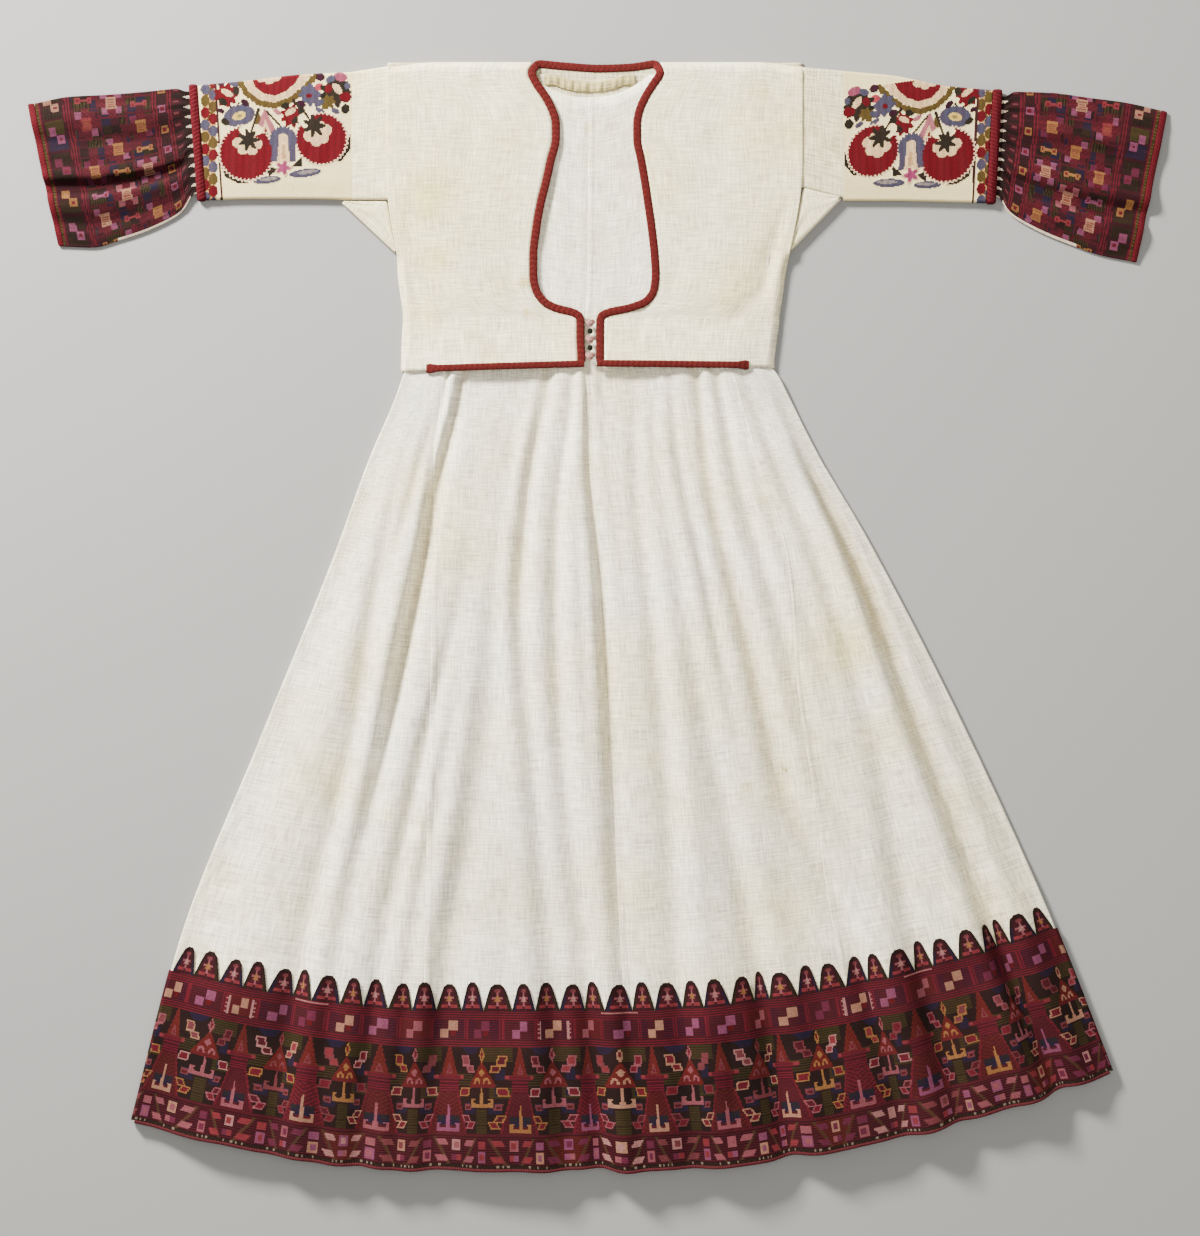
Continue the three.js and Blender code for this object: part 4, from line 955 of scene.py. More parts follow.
def paint_scallops(canvas, x, y, number):
    half = 0.5 * ARCH_PITCH * scallop_share(y)
    dab(canvas, y >= 0, "black")
    inner = half - 2.0 - 1.4 * smooth(6, 22, y)
    flank = (np.abs(x) > inner) & (np.abs(x) < half - 1.3) & (y > 11)
    dab(canvas, flank, pick(number, ("navy", "moss")))
    dab(canvas, (np.abs(x) < inner) & (y > 2.6), "wine")
    dab(canvas, (x / 2.9) ** 2 + ((y - 6.0) / 2.3) ** 2 < 1, "dusty")
    warm = np.mod(number, 2) == 1
    dab(canvas, box_mask(x, y, -0.8, 0.8, 8, 22), "pink")
    dab(canvas, box_mask(np.abs(x), y, 0, 5.2, 12.5, 15.2), "pink")
    centre = (np.abs(x) < 0.6 + (y - 11) * 0.45) & (y > 11) & (y < 17.5)
    dab(canvas, centre & warm, "yellow")
    dab(canvas, centre & ~warm, "pale")
    dab(canvas, box_mask(np.abs(x), y, 1.0, 8.6, 20.5, 24.2), "rose")
    dab(canvas, box_mask(np.abs(x), y, 2.6, 5.4, 17.2, 19.2), "maroon")


def paint_squares(canvas, a, y):
    """The row under the scallops, from 27 to 63 mm down."""
    here = (y >= SCALLOP_DEEP - 0.6) & (y < SQUARES_END)
    stripes(canvas, here, y, 2.5, "maroon", "wine")
    x, k = repeats(a, 27, 0.25)
    cool = here & (np.mod(k, 3) != 1) & (np.abs(x) > 8) & (np.mod(y, 2.5) > 1.25)
    dab(canvas, cool, (0.20, 0.07, 0.20))
    dull = here & (np.mod(k, 5) == 2) & (np.mod(y, 2.5) > 1.25)
    dab(canvas, dull, (0.40, 0.15, 0.13))
    dab(canvas, here & (np.abs(np.abs(x) - 17.2) < 0.9), "crimson")
    lines = here & ((y < 36) | (y > 56))
    stripes(canvas, lines, y, 2.7, "crimson", "wine")
    dab(canvas, here & (np.mod(k, 9) == 4) & (np.abs(y - 29) < 0.7), "pale")
    creamy = np.isin(np.mod(k, 27), (0, 2, 5, 8, 11, 14, 18, 20, 23))
    pairs = box_mask(x, y, 0.2, 8.8, 37.5, 46.5) | box_mask(x, y, -8.8, -0.2, 45.5, 54.0)
    hole = box_mask(x, y, 1.8, 6.5, 47.5, 52.5) & np.isin(np.mod(k, 4), (0, 1))
    dab(canvas, pairs & here, pick(k, ("lilac", "lilac", "pink", "lilac", "mauve")))
    dab(canvas, pairs & here & creamy, "cream")
    dab(canvas, hole & here, (0.42, 0.09, 0.12))
    comb = (np.mod(k, 9) == 2) & here
    teeth = (np.abs(np.abs(x) - 14) < 1.0) | ((np.abs(x) > 13) & (np.abs(x) < 17) & (np.mod(y, 4.4) < 1.5))
    dab(canvas, comb & teeth & (y > 37) & (y < 56), "pale")


def anchor(canvas, x, y, top, foot, half, colour):
    """An anchor: a stem that widens to its foot, with a bar whose ends turn up."""
    k = (y - top) / (foot - top)
    stem = (np.abs(x) < 0.8 + 1.5 * k) & (y > top) & (y < foot)
    bar = (np.abs(x) < half) & (y > foot - 4.2) & (y < foot)
    ends = (np.abs(np.abs(x) - half + 2.2) < 2.2) & (y > foot - 8.5) & (y < foot)
    curl = (np.abs(np.abs(x) - half + 4.2) < 1.2) & (y > foot - 7.4) & (y < foot - 4.6)
    dab(canvas, stem | bar | (ends & ~curl), colour)


PATCH_EDGE = 2.6


def quad_outline(canvas, x, y, x0, y0, wide, tall, lean, edge, inside):
    """A leaning four-sided patch with an outline."""
    u = (x - x0 - lean * (y - y0)) / (wide / 2)
    v = (y - y0) / (tall / 2)
    far = np.maximum(np.abs(u), np.abs(v))
    dab(canvas, far < 1, edge)
    dab(canvas, (np.abs(u) < 1 - PATCH_EDGE / wide) & (np.abs(v) < 1 - PATCH_EDGE / tall), inside)


def paint_cypresses(canvas, a, y):
    """The tall row of cypress figures and small tents, from 63 to 153 mm down."""
    here = (y >= SQUARES_END) & (y < CYPRESS_END)
    x, k = repeats(a, 14, 0.72)
    side = np.sign(x)
    t, j = repeats(a, 14, 0.72 + ARCH_COUNT / 28)
    dab(canvas, here, "black")
    stripes(canvas, here & (y < 78) & (x < -8), y, 2.4, "green", "moss")
    stripes(canvas, here & (y > 90) & (y < 102) & (np.abs(t) > 10) & (t < 0), y, 2.4, "green", "black")
    stripes(canvas, here & (y > 104) & (y < 116) & (np.abs(t) > 8) & (t > 0), y, 2.4, "moss", "green")
    navy = (here & (y < 71) & (x > 13 + (y - 64) * 0.8) & (x < 33 - (y - 64) * 0.8)) | (
        here & (y > 86) & (y < 97) & (np.abs(t - 17) < 4)
    ) | (here & (y > 104) & (y < 114) & (np.abs(t - 16) < 4)) | (
        here & (y > 120) & (y < 131) & (np.abs(t) > 7) & (np.abs(t) < 19)
    )
    dab(canvas, navy, "navy")
    stripes(canvas, here & (y > 126) & (np.abs(t) < 5.5), y, 2.4, "green", "moss")
    brick = here & (np.abs(x) > 6) & (np.abs(x) < 11 + 9 * smooth(118, 150, y)) & (y > 117)
    stripes(canvas, brick, y + 0.4 * np.abs(x), 3.0, "maroon", "wine")

    # the cypress: spire, crossbar, body and spreading skirt
    spire = here & (np.abs(x) < 1.2 + 6.8 * (y - 64) / 28) & (y < 92)
    lean_lines = np.mod(np.abs(x) * 2.2 - y, 5.0) < 2.2
    dab(canvas, spire, "rust")
    dab(canvas, spire & lean_lines, (0.47, 0.20, 0.18))
    dab(canvas, here & (np.abs(x) < 3.6 * (y - 80) / 11) & (y > 80) & (y < 91), "dusty")
    dab(canvas, here & (np.abs(x) < 1.9 * (y - 84) / 7) & (y > 84) & (y < 90), "crimson")
    crossbar = box_mask(np.abs(x), y, -1, 14, 92, 97)
    stripes(canvas, crossbar, y, 2.5, "crimson", "maroon")
    dab(canvas, box_mask(np.abs(x), y, 11, 15, 92, 96), "rose")
    body = here & (np.abs(x) < 9.5) & (y >= 97) & (y < 110)
    stripes(canvas, body, y, 2.9, "crimson", (0.30, 0.06, 0.16))
    half = 9.5 + 9.5 * np.clip((y - 110) / 40, 0, 1) ** 0.9
    skirt = here & (np.abs(x) < half) & (y >= 110) & (y < 151)
    dab(canvas, skirt, (0.33, 0.10, 0.16))
    slanted = np.mod(np.abs(x) * 0.7 + y, 4.4) < 1.9
    dab(canvas, skirt & slanted, pick(k, ("rust", "maroon", "crimson", "rust")))
    dab(canvas, skirt & (y > 110) & (np.abs(x) > half - 1.6), "crimson")
    dab(canvas, box_mask(np.abs(x), y, -1, 11, 133, 144), "navy")
    dab(canvas, box_mask(np.abs(x), y, 4, 11, 133, 138), "teal")
    anchors = pick(k, ("cream", "pink", "cream", "pink", "lilac", "yellow", "lilac"))
    anchor(canvas, x, y, 122, 150, 11, anchors)

    # the tent: a triangle with windows, a drop above it and an anchor below
    tent = here & (np.abs(t) < 1 + 13 * (y - 79) / 24) & (y > 79) & (y < 103)
    dab(canvas, tent, "orange")
    dab(canvas, tent & (np.mod(y - np.abs(t), 4.6) < 1.7), (0.45, 0.11, 0.10))
    light = pick(j, ("pink", "dusty", "yellow", "pink", "yellow", "pink", "cream"))
    drop = here & (np.abs(t) / 3.1 + np.abs(y - 72) / 8 < 1)
    dab(canvas, drop, light)
    dab(canvas, here & (np.abs(t) / 1.5 + np.abs(y - 71) / 4.6 < 1), "red")
    for mask in (
        (np.abs(t) / 3.6 + np.abs(y - 89.5) / 4.2 < 1) & (y > 86),
        (((np.abs(t) - 5.0) / 3.6) ** 2 + ((y - 100.5) / 6.0) ** 2 < 1) & (y < 101) & here,
    ):
        dab(canvas, mask & here, light)
    dab(canvas, (((np.abs(t) - 5.0) / 1.7) ** 2 + ((y - 101) / 4.0) ** 2 < 1) & (y < 101), "red")
    dab(canvas, box_mask(np.abs(t), y, -1, 13, 102, 104), "red")
    anchor(canvas, t, y, 105, 124.5, 11.5, light)

    # patches between them
    s_edge = pick(k + 2 * (side > 0), ("pink", "dusty", "cream", "pale", "dusty", "yellow", "pink"))
    inner = pick(k, ("dusty", "maroon", "rose", "crimson"))
    gap = np.abs(x)
    quad_outline(canvas, gap, y, 17.5, 77.5, 8.5, 10.5, 0.15, s_edge, inner)
    quad_outline(canvas, gap, y, 23.0, 86.0, 8.5, 8.0, 0.25, s_edge, inner)
    warm = pick(k + (side > 0), ("yellow", "pale", "yellow", "dusty", "cream"))
    quad_outline(canvas, gap, y, 16.8, 108.5, 10.5, 9.0, -0.2, warm, "crimson")
    quad_outline(canvas, gap, y, 20.5, 124.5, 7.0, 6.0, 0.1, "dusty", "maroon")
    lower = pick(j + (t > 0), ("yellow", "pink", "dusty", "cream", "pink"))
    gap_t = np.abs(t)
    quad_outline(canvas, gap_t, y, 17.0, 135.5, 8.0, 7.5, -0.5, lower, "maroon")
    quad_outline(canvas, gap_t, y, 12.0, 142.5, 8.0, 7.5, 0.5, lower, "crimson")
    dab(canvas, here & (y > 150.8), "maroon")


def paint_zigzag(canvas, a, y):
    """The zigzag row at the bottom, from 153 to 182 mm down, and the beaded edge under it."""
    here = (y >= CYPRESS_END) & (y < ZIGZAG_END)
    stripes(canvas, here, y, 2.5, "maroon", (0.17, 0.035, 0.09))
    x, k = repeats(a, 18, 1.35)
    dull = here & np.isin(np.mod(k, 9), (3, 7)) & (np.abs(x) < 24 - (y - 155) * 0.5)
    stripes(canvas, dull, y, 2.5, (0.40, 0.18, 0.15), (0.33, 0.13, 0.12))
    half = 21 - 13 * (y - 155) / 26
    dab(canvas, here & (np.abs(np.abs(x) - half) < 1.5), (0.34, 0.29, 0.20))
    dab(canvas, here & (y < 155.2), (0.20, 0.06, 0.09))
    t, j = repeats(a, 18, 1.35 + ARCH_COUNT / 36)
    first = pick(k, ("pink", "rose", "mauve", "pale", "dusty"))
    second = pick(j, ("mauve", "rose", "lilac", "pink"))

    def put(mask, colour):
        dab(canvas, mask & here, colour)

    put(box_mask(np.abs(x), y, -1, 4.3, 157, 169), pick(k, ("cream", "pale", "pink", "lilac")))
    put(box_mask(np.abs(x), y, -1, 2.4, 159.5, 166.5), first)
    put(box_mask(np.abs(x) + (y - 160) * 0.5, y, 9.5, 18.5, 157.5, 163), first)
    put(box_mask(np.abs(x), y, -1, 4.6, 172, 179), second)
    put(box_mask(np.abs(t), y, -1, 4.0, 159, 165.5), second)
    put(box_mask(np.abs(t), y, -1, 4.0, 168.5, 179.5), pick(j, ("pink", "lilac", "cream", "lilac")))
    put(box_mask(np.abs(t), y, -1, 2.2, 171, 177), second)
    put(box_mask(np.abs(t) - (y - 176) * 0.5, y, 9.0, 18.5, 173.5, 180), first)
    edge = y >= ZIGZAG_END
    lit = np.mod(np.floor(a * ARCH_PITCH / 2.2) + np.floor(y / 1.6), 2) < 1
    dab(canvas, edge, (0.19, 0.19, 0.12))
    dab(canvas, edge & lit, (0.11, 0.10, 0.07))
    beads = edge & (y < 184.6) & (np.sin(a * 17.3) + np.sin(a * 5.1 + 1) > 0.3)
    dab(canvas, beads & (np.mod(a * ARCH_PITCH, 4.4) < 2.0), "bead")


def aged(canvas, along, down):
    """Thread colours as they lie: each stitch a little lighter or darker, and faded in patches."""
    shape = canvas.shape[:2]
    canvas = np.clip(canvas, 0, 1) ** DYE_DEPTH
    canvas *= 1 + 0.2 * (chance.random(shape) - 0.5)[..., None]
    worn = 0.5 + 0.5 * np.sin(along * 0.31 + 2 * np.sin(down * 0.045)) * np.sin(down * 0.06 + 1.3)
    canvas += (0.20 + 0.10 * worn)[..., None] * (FADED - canvas)
    canvas *= (1 + 0.05 * np.sin(along * 0.9 + down * 0.03))[..., None]
    return np.clip(canvas, 0, 1)


def centres(values):
    """A grid's values at the middles of its faces."""
    return (values[:-1, :-1] + values[1:, 1:]) / 2


def border_paint(a, y):
    canvas = np.zeros((*a.shape, 3))
    paint_squares(canvas, a, y)
    paint_cypresses(canvas, a, y)
    paint_zigzag(canvas, a, y)
    return aged(canvas, a, y)


def silk(name, bump=0.5):
    """Worn embroidery silk: the colour of each stitch on short rows of thread, nearly matt."""
    material = bpy.data.materials.new(name)
    material.use_nodes = True
    tree = material.node_tree
    shader = tree.nodes["Principled BSDF"]
    colour = add_node(tree, "ShaderNodeVertexColor", {"layer_name": "stitches"}).outputs["Color"]
    rows = add_node(tree, "ShaderNodeGroup", {"node_tree": THREADS})
    light = maths(tree, "MULTIPLY_ADD", rows.outputs["Height"], 0.22, 0.92)
    grey = add_node(tree, "ShaderNodeCombineColor", Red=light, Green=light, Blue=light)
    tint = blended(tree, "MULTIPLY", 1.0, colour, grey.outputs[0])
    relief = add_node(
        tree, "ShaderNodeBump", Height=rows.outputs["Height"], Strength=bump, Distance=0.0006
    )
    tree.links.new(tint, shader.inputs["Base Color"])
    tree.links.new(relief.outputs[0], shader.inputs["Normal"])
    shader.inputs["Roughness"].default_value = 0.88
    shader.inputs["Specular IOR Level"].default_value = 0.06
    return material


def threads_group():
    """Short threads side by side along the cloth's U, broken up at random."""
    group, start, end = new_group(
        "silk_threads", [("Pitch", "NodeSocketFloat", 0.0011)], [("Height", "NodeSocketFloat")]
    )
    uv = add_node(group, "ShaderNodeUVMap", {"uv_map": "cloth"}).outputs["UV"]
    parts = add_node(group, "ShaderNodeSeparateXYZ", Vector=uv)
    rows = maths(group, "DIVIDE", parts.outputs["Y"], start.outputs["Pitch"])
    wave = maths(group, "SINE", maths(group, "MULTIPLY", rows, 2 * math.pi))
    place = add_node(group, "ShaderNodeMapping", Vector=uv, Scale=(260, 900, 1))
    noise = add_node(group, "ShaderNodeTexNoise", Vector=place.outputs[0], Scale=1.0, Detail=2.0)
    height = maths(group, "MULTIPLY_ADD", wave, 0.18, noise.outputs[0])
    group.links.new(height, end.inputs["Height"])
    return group


THREADS = threads_group()
HEM_SILK = silk("hem_silk")


def foot_shares():
    """Lookup from scallops counted along their feet to a share of the row."""
    u = np.linspace(0, 1, 2001)
    line = front_point(u, np.full(u.shape, ARCH_FOOT))
    steps = np.linalg.norm(np.diff(line, axis=0), axis=1)
    steps *= 0.85 + 0.55 * smooth(0.45, 0.0, fold_share(u[1:], ARCH_FOOT)) + 0.16 * np.sin(97 * u[1:])
    return np.concatenate([[0], np.cumsum(steps)]) / steps.sum() * ARCH_COUNT, u


FOOT_COUNT, FOOT_SHARE = foot_shares()


def border_surface(a, y, out=2.2):
    """Points of the border's face at a scallop count and a depth, just above the cotton."""
    t = mix(ARCH_TOP, 1.0, y / BORDER_DEEP)
    u = np.interp(a, FOOT_COUNT, FOOT_SHARE)
    points = front_point(across_at(u, t), t)
    roll = fold_share(across_at(u, t), t) - 0.45
    points[..., 1] += (0.6 * np.sin(a * 2.3) - 6.5 * roll) * smooth(90, 186, y)
    return points + grid_normals(points) * out


def joined(name, parts):
    """One mesh from several grids, each a tuple of points, UV and colours."""
    pieces = [sew(name + str(i), *part[:2], face_colour=part[2]) for i, part in enumerate(parts)]
    bpy.ops.object.select_all(action="DESELECT")
    for piece in pieces:
        piece.select_set(True)
    bpy.context.view_layer.objects.active = pieces[0]
    if len(pieces) > 1:
        bpy.ops.object.join()
    pieces[0].name = name
    pieces[0].select_set(False)
    return pieces[0]


def border_length(name, first, last):
    """A length of border from one scallop count to another; whole ends wrap round the side."""
    columns = np.linspace(first, last, int(round((last - first) * 22)) + 1)
    depths = np.linspace(SCALLOP_DEEP, BORDER_DEEP, 128)
    a, y = np.meshgrid(columns, depths)
    grid = border_surface(a, y)
    colours = border_paint(centres(a), centres(y))
    uv = np.stack([a * ARCH_PITCH, -y], axis=-1)
    low = grid[-1:].copy()
    low[..., 2] -= 2.0
    parts = [(grid, uv, colours)]
    rim = np.concatenate([grid[-1:], low])
    parts.append((rim, np.stack([uv[-1], uv[-1] - (0, 2)]), colours[-1:]))
    for on_left in (True, False):
        if (on_left and first > 0) or (not on_left and last < ARCH_COUNT):
            continue
        parts.append(border_wrap(depths, on_left, grid[:, 0 if on_left else -1]))
    for number in range(math.ceil(first - 0.3), math.floor(last + 0.3)):
        parts.append(scallop(number))
    piece = joined(name, parts)
    piece.data.materials.append(HEM_SILK)
    return piece


def border_wrap(depths, on_left, edge):
    """The turn round a side fold, down to the table."""
    steps = np.linspace(0, 1, 9)
    radius = edge[:, 2:3] / 2
    out = (-1 if on_left else 1) * radius * np.sin(math.pi * steps)[None, :]
    x = edge[:, 0:1] + out
    z = np.maximum(radius * (1 + np.cos(math.pi * steps)[None, :]), 0.35)
    y = np.broadcast_to(edge[:, 1:2], x.shape)
    grid = np.stack([x, y, z], axis=-1)
    if on_left:
        grid = grid[:, ::-1]
    start = 0 if on_left else ARCH_COUNT
    a = np.broadcast_to(start + (steps[::-1] * -0.8 if on_left else steps * 0.8), x.shape)
    down = np.broadcast_to(depths[:, None], x.shape)
    colours = border_paint(centres(a), centres(down))
    return grid, np.stack([a * ARCH_PITCH, -down], axis=-1), colours


def scallop(number):
    """One thimble-shaped scallop, at its number along the border."""
    across = np.linspace(-0.5, 0.5, 21)
    depths = np.concatenate([[-0.9, -0.3], np.linspace(0.6, SCALLOP_DEEP + 0.7, 24)])
    k, y = np.meshgrid(across, depths)
    tall = 1 + 0.10 * math.sin(number * 2.7) * 0.5
    share = scallop_share(np.maximum(y, 0.0))
    rounding = 1 - 0.4 * smooth(2.2, -1.0, y)
    a = number + 0.5 + k * share * rounding
    depth = SCALLOP_DEEP - (SCALLOP_DEEP - y) * tall
    grid = border_surface(np.clip(a, 0.02, ARCH_COUNT - 0.02), depth)
    grid[0, :, 2] -= 1.4
    x_mid, y_mid = centres((a - number - 0.5) * ARCH_PITCH), centres(y)
    canvas = np.zeros((*x_mid.shape, 3))
    canvas[:] = SILK["black"]
    paint_scallops(canvas, x_mid, y_mid, np.full(x_mid.shape, number))
    return grid, np.stack([a * ARCH_PITCH, -y], axis=-1), aged(canvas, x_mid, y_mid)


def seam_count(share):
    return float(np.interp(share, FOOT_SHARE, FOOT_COUNT))


BORDER_CUTS = [0.0, *(round(seam_count(s)) for s in SEAM_AT.values()), float(ARCH_COUNT)]
BORDER_NAMES = ("border_gore_left", "border_front_left", "border_front_right", "border_gore_right")


def hem_border():
    for i, name in enumerate(BORDER_NAMES):
        piece = border_length(name, BORDER_CUTS[i], BORDER_CUTS[i + 1])
        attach(piece, "root")
    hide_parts("hem_border_front")


def hem_border_back():
    columns = np.linspace(0.15, ARCH_COUNT - 0.15, 400)
    depths = np.linspace(SCALLOP_DEEP, BORDER_DEEP, 60)
    a, y = np.meshgrid(columns, depths)
    t = mix(ARCH_TOP, 1.0, y / BORDER_DEEP)
    grid = back_point(np.interp(a, FOOT_COUNT, FOOT_SHARE), t)
    grid[..., 2] = 0.9
    colours = border_paint(centres(a), centres(y))
    uv = np.stack([a * ARCH_PITCH, -y], axis=-1)
    piece = joined("hem_border_back", [(grid, uv, colours)])
    piece.data.materials.append(HEM_SILK)
    cloth_piece(piece, "hem_border_back")


hem_border()
hem_border_back()

# ---------------------------------------------------------------- cords, piping and braid
# Red piping along the hem, and flat plaited red braid that binds the jacket's neck, front edges
# and lower edge. All are sewn down by hand.


def plait(name, line, width, thick, pitch, colours, slant=1.0, crown=0.9, knob=0.0):
    """A plaited or twisted band along a line of points in mm, at the line's own height."""
    line = np.asarray(line, float)
    lengths = np.concatenate([[0], np.cumsum(np.linalg.norm(np.diff(line, axis=0), axis=1))])
    count = max(6, int(lengths[-1] / 1.25))
    s = np.linspace(0, lengths[-1], count)
    path = np.stack([np.interp(s, lengths, line[:, c]) for c in range(3)], axis=-1)
    smooth_path = path.copy()
    for _ in range(6):
        smooth_path[1:-1] = (smooth_path[:-2] + 2 * smooth_path[1:-1] + smooth_path[2:]) / 4
    ahead = np.gradient(smooth_path, axis=0)
    ahead /= np.linalg.norm(ahead, axis=1, keepdims=True)
    side = np.stack([-ahead[:, 1], ahead[:, 0], np.zeros(count)], axis=-1)
    side /= np.maximum(np.linalg.norm(side, axis=1, keepdims=True), 1e-6)
    ring = 16
    angle = np.linspace(0, 2 * math.pi, ring, endpoint=False)
    cross = np.sign(np.cos(angle)) * np.abs(np.cos(angle)) ** 0.7
    lift = np.sign(np.sin(angle)) * np.abs(np.sin(angle)) ** 0.8
    wave = np.sin(2 * math.pi * (s[:, None] / pitch + slant * np.abs(cross)[None, :] * 0.5))
    tall = thick / 2 * lift[None, :] * (crown + 0.12 * wave * (lift > 0)[None, :])
    half = width / 2 * (1 + 0.03 * wave) * (1 + knob * np.exp(-(((s[:, None] - 4) / 5) ** 2)))
    grid = smooth_path[:, None, :] + side[:, None, :] * (half * cross[None, :])[..., None]
    grid[..., 2] += tall
    dark, light = (np.array(SILK[c]) if isinstance(c, str) else np.array(c) for c in colours)
    k = 0.5 + 0.5 * wave[:-1, :, None]
    canvas = mix(dark, light, k) * (1 + 0.12 * (chance.random((count - 1, ring, 1)) - 0.5))
    u = np.broadcast_to(np.linspace(0, width * 2.2, ring + 1)[None, :], (count, ring + 1))
    uv = np.stack([u, np.broadcast_to(-s[:, None], u.shape)], axis=-1)
    return sew(name, grid[:, ::-1], uv[:, ::-1], closed=True, face_colour=np.clip(canvas, 0, 1)[:, ::-1])


RED_CORD = silk("red_cord", bump=0.7)
BRAID_REDS = ((0.28, 0.09, 0.085), (0.34, 0.115, 0.105))
PIPING_REDS = ((0.23, 0.085, 0.10), (0.34, 0.14, 0.155))


def strip_piece(piece, node):
    """What every red braid, cord and piping says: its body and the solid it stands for."""
    piece.data.materials.append(RED_CORD)
    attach(piece, "root")
    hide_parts(node)


def hem_piping():
    a, depths = np.meshgrid(np.linspace(0.0, ARCH_COUNT, 700), (178.0, 182.0, BORDER_DEEP))
    line = border_surface(a, depths, 1.2)[-1]
    line[:, 1] -= 1.4
    piece = plait("hem_piping_front", line, 3.6, 3.4, 2.6, PIPING_REDS, 0.5)
    strip_piece(piece, "hem_piping_front")
    back = back_point(np.linspace(0.006, 0.994, 260), np.ones(260))
    back[:, 1] -= 1.9
    back[:, 2] = 1.7
    piece = plait("hem_piping_back", back, 3.2, 3.0, 2.6, PIPING_REDS, 0.5)
    strip_piece(piece, "hem_piping_back")


def opening_line(side):
    y = np.concatenate([np.linspace(549, 316, 60), np.linspace(314, 297, 24), np.linspace(293, 254, 12)])
    x = jacket_line(side, "opening", y)
    z = jacket_height(x, y, FAR_FROM_SIDE) + BRAID_LIFT
    path = np.stack([x, y, z], axis=-1)
    ahead = np.gradient(path[:, :2], axis=0)
    across = np.stack([-ahead[:, 1], ahead[:, 0]], axis=-1)
    across /= np.linalg.norm(across, axis=1, keepdims=True)
    inward = 1 if side == "left" else -1
    path[:, :2] += inward * across * (BRAID_WIDTH / 2 + SEAM_GAP)
    return path


def jacket_braids():
    nape = np.array([(-61, 559), (-30, 556), (2, 554), (32, 555), (59, 559)], float)
    x = np.linspace(-61, 59, 40)
    back = np.stack([x, through(nape[:, 0], nape[:, 1], x), np.full(40, 1.5)], axis=-1)
    line = np.concatenate([opening_line("left")[::-1], back, opening_line("right")])
    piece = plait("neck_braid", line, BRAID_WIDTH + 1.2, 2.9, 5.4, BRAID_REDS)
    strip_piece(piece, "neck_braid")
    for side, start, end in (("left", -174.0, -13.4), ("right", 154.0, -0.6)):
        x = np.linspace(start, end, 90)
        edge = float(jacket_line(side, "side", 256.0))
        z = jacket_height(x, np.full(90, float(HEM_BRAID_Y)), np.abs(x - edge)) + BRAID_LIFT
        line = np.stack([x, HEM_BRAID_Y + hem_lean(x, HEM_BRAID_Y), z], axis=-1)
        piece = plait("hem_braid_" + side, line, BRAID_WIDTH, 2.9, 5.4, BRAID_REDS, knob=0.4)
        strip_piece(piece, "hem_braid_" + side)


hem_piping()
jacket_braids()

# ---------------------------------------------------------------- sleeves
# Each jacket sleeve is a flattened tube: a plain strip at the armhole, then cotton embroidered
# with flowers, ended by a crimson cord. The chemise's sleeves come out of it as gathered,
# flared ends covered in cross stitch.
SLEEVES = {
    # topX, topY, lowX, lowY, lift, puff
    "left": {
        "strip": [(-212, 557, -212, 419, 0, 1.6), (-250.3, 551, -250.3, 419, 0, 1.6)],
        "embroidered": [
            (-250.2, 551, -250.2, 419, 0, 1.6),
            (-303, 548, -300, 420, 0, 2.5),
            (-355, 542, -350, 420, 0, 2.5),
            (-407, 537, -398, 419, 0, 1.6),
        ],
        "ring": [
            (-407.5, 537.6, -398.5, 418.4, 0, 1.8),
            (-412, 537.8, -403, 418.2, 0, 2.4),
            (-416.5, 537.6, -407.5, 418.4, 0, 1.8),
        ],
        "lining": [
            (-191, 546, -191, 430, 1.8, 0),
            (-303, 540, -300, 428, 1.8, 0),
            (-390, 531, -382, 426, 1.8, 0),
        ],
        "flare": [
            (-390.5, 531, -382.5, 426, 1.8, 0),
            (-418, 531, -409, 425, 1.8, 0.2),
            (-430, 534, -424, 406, 0.2, 3.5),
            (-462, 531, -455, 389, 0, 6),
            (-500, 528, -487, 378, 0, 7),
            (-538, 526, -515, 371, 0, 7),
            (-574, 519, -543, 372, 0, 6),
        ],
        "binding": [(-574.5, 519, -543.5, 372, 0, 6), (-581, 518, -549.5, 373, 0, 6)],
    },
    "right": {
        "strip": [(207, 556, 207, 432, 0, 1.6), (250.3, 552, 250.3, 421, 0, 1.6)],
        "embroidered": [
            (250.2, 552, 250.2, 418, 0, 1.6),
            (303, 547, 300, 418, 0, 2.5),
            (352, 537, 350, 417, 0, 2.5),
            (402, 532, 395, 416, 0, 1.6),
        ],
        "ring": [
            (402.5, 532.6, 395.5, 415.4, 0, 1.8),
            (407.5, 532.8, 400.5, 415.2, 0, 2.4),
            (412.5, 532.6, 405.5, 415.4, 0, 1.8),
        ],
        "lining": [
            (180, 546, 180, 438, 1.8, 0),
            (303, 539, 300, 427, 1.8, 0),
            (385, 526, 378, 423, 1.8, 0),
        ],
        "flare": [
            (385.5, 526, 378.5, 423, 1.8, 0),
            (414, 526, 407, 422, 1.8, 0.2),
            (427, 531, 420, 405, 0.2, 3.5),
            (462, 530, 452, 386, 0, 6),
            (500, 525, 484, 373, 0, 7),
            (538, 520, 513, 363, 0, 7),
            (574, 512, 543, 357, 0, 6),
        ],
        "binding": [(574.5, 512, 543.5, 357, 0, 6), (581, 510, 549.5, 356, 0, 6)],
    },
}
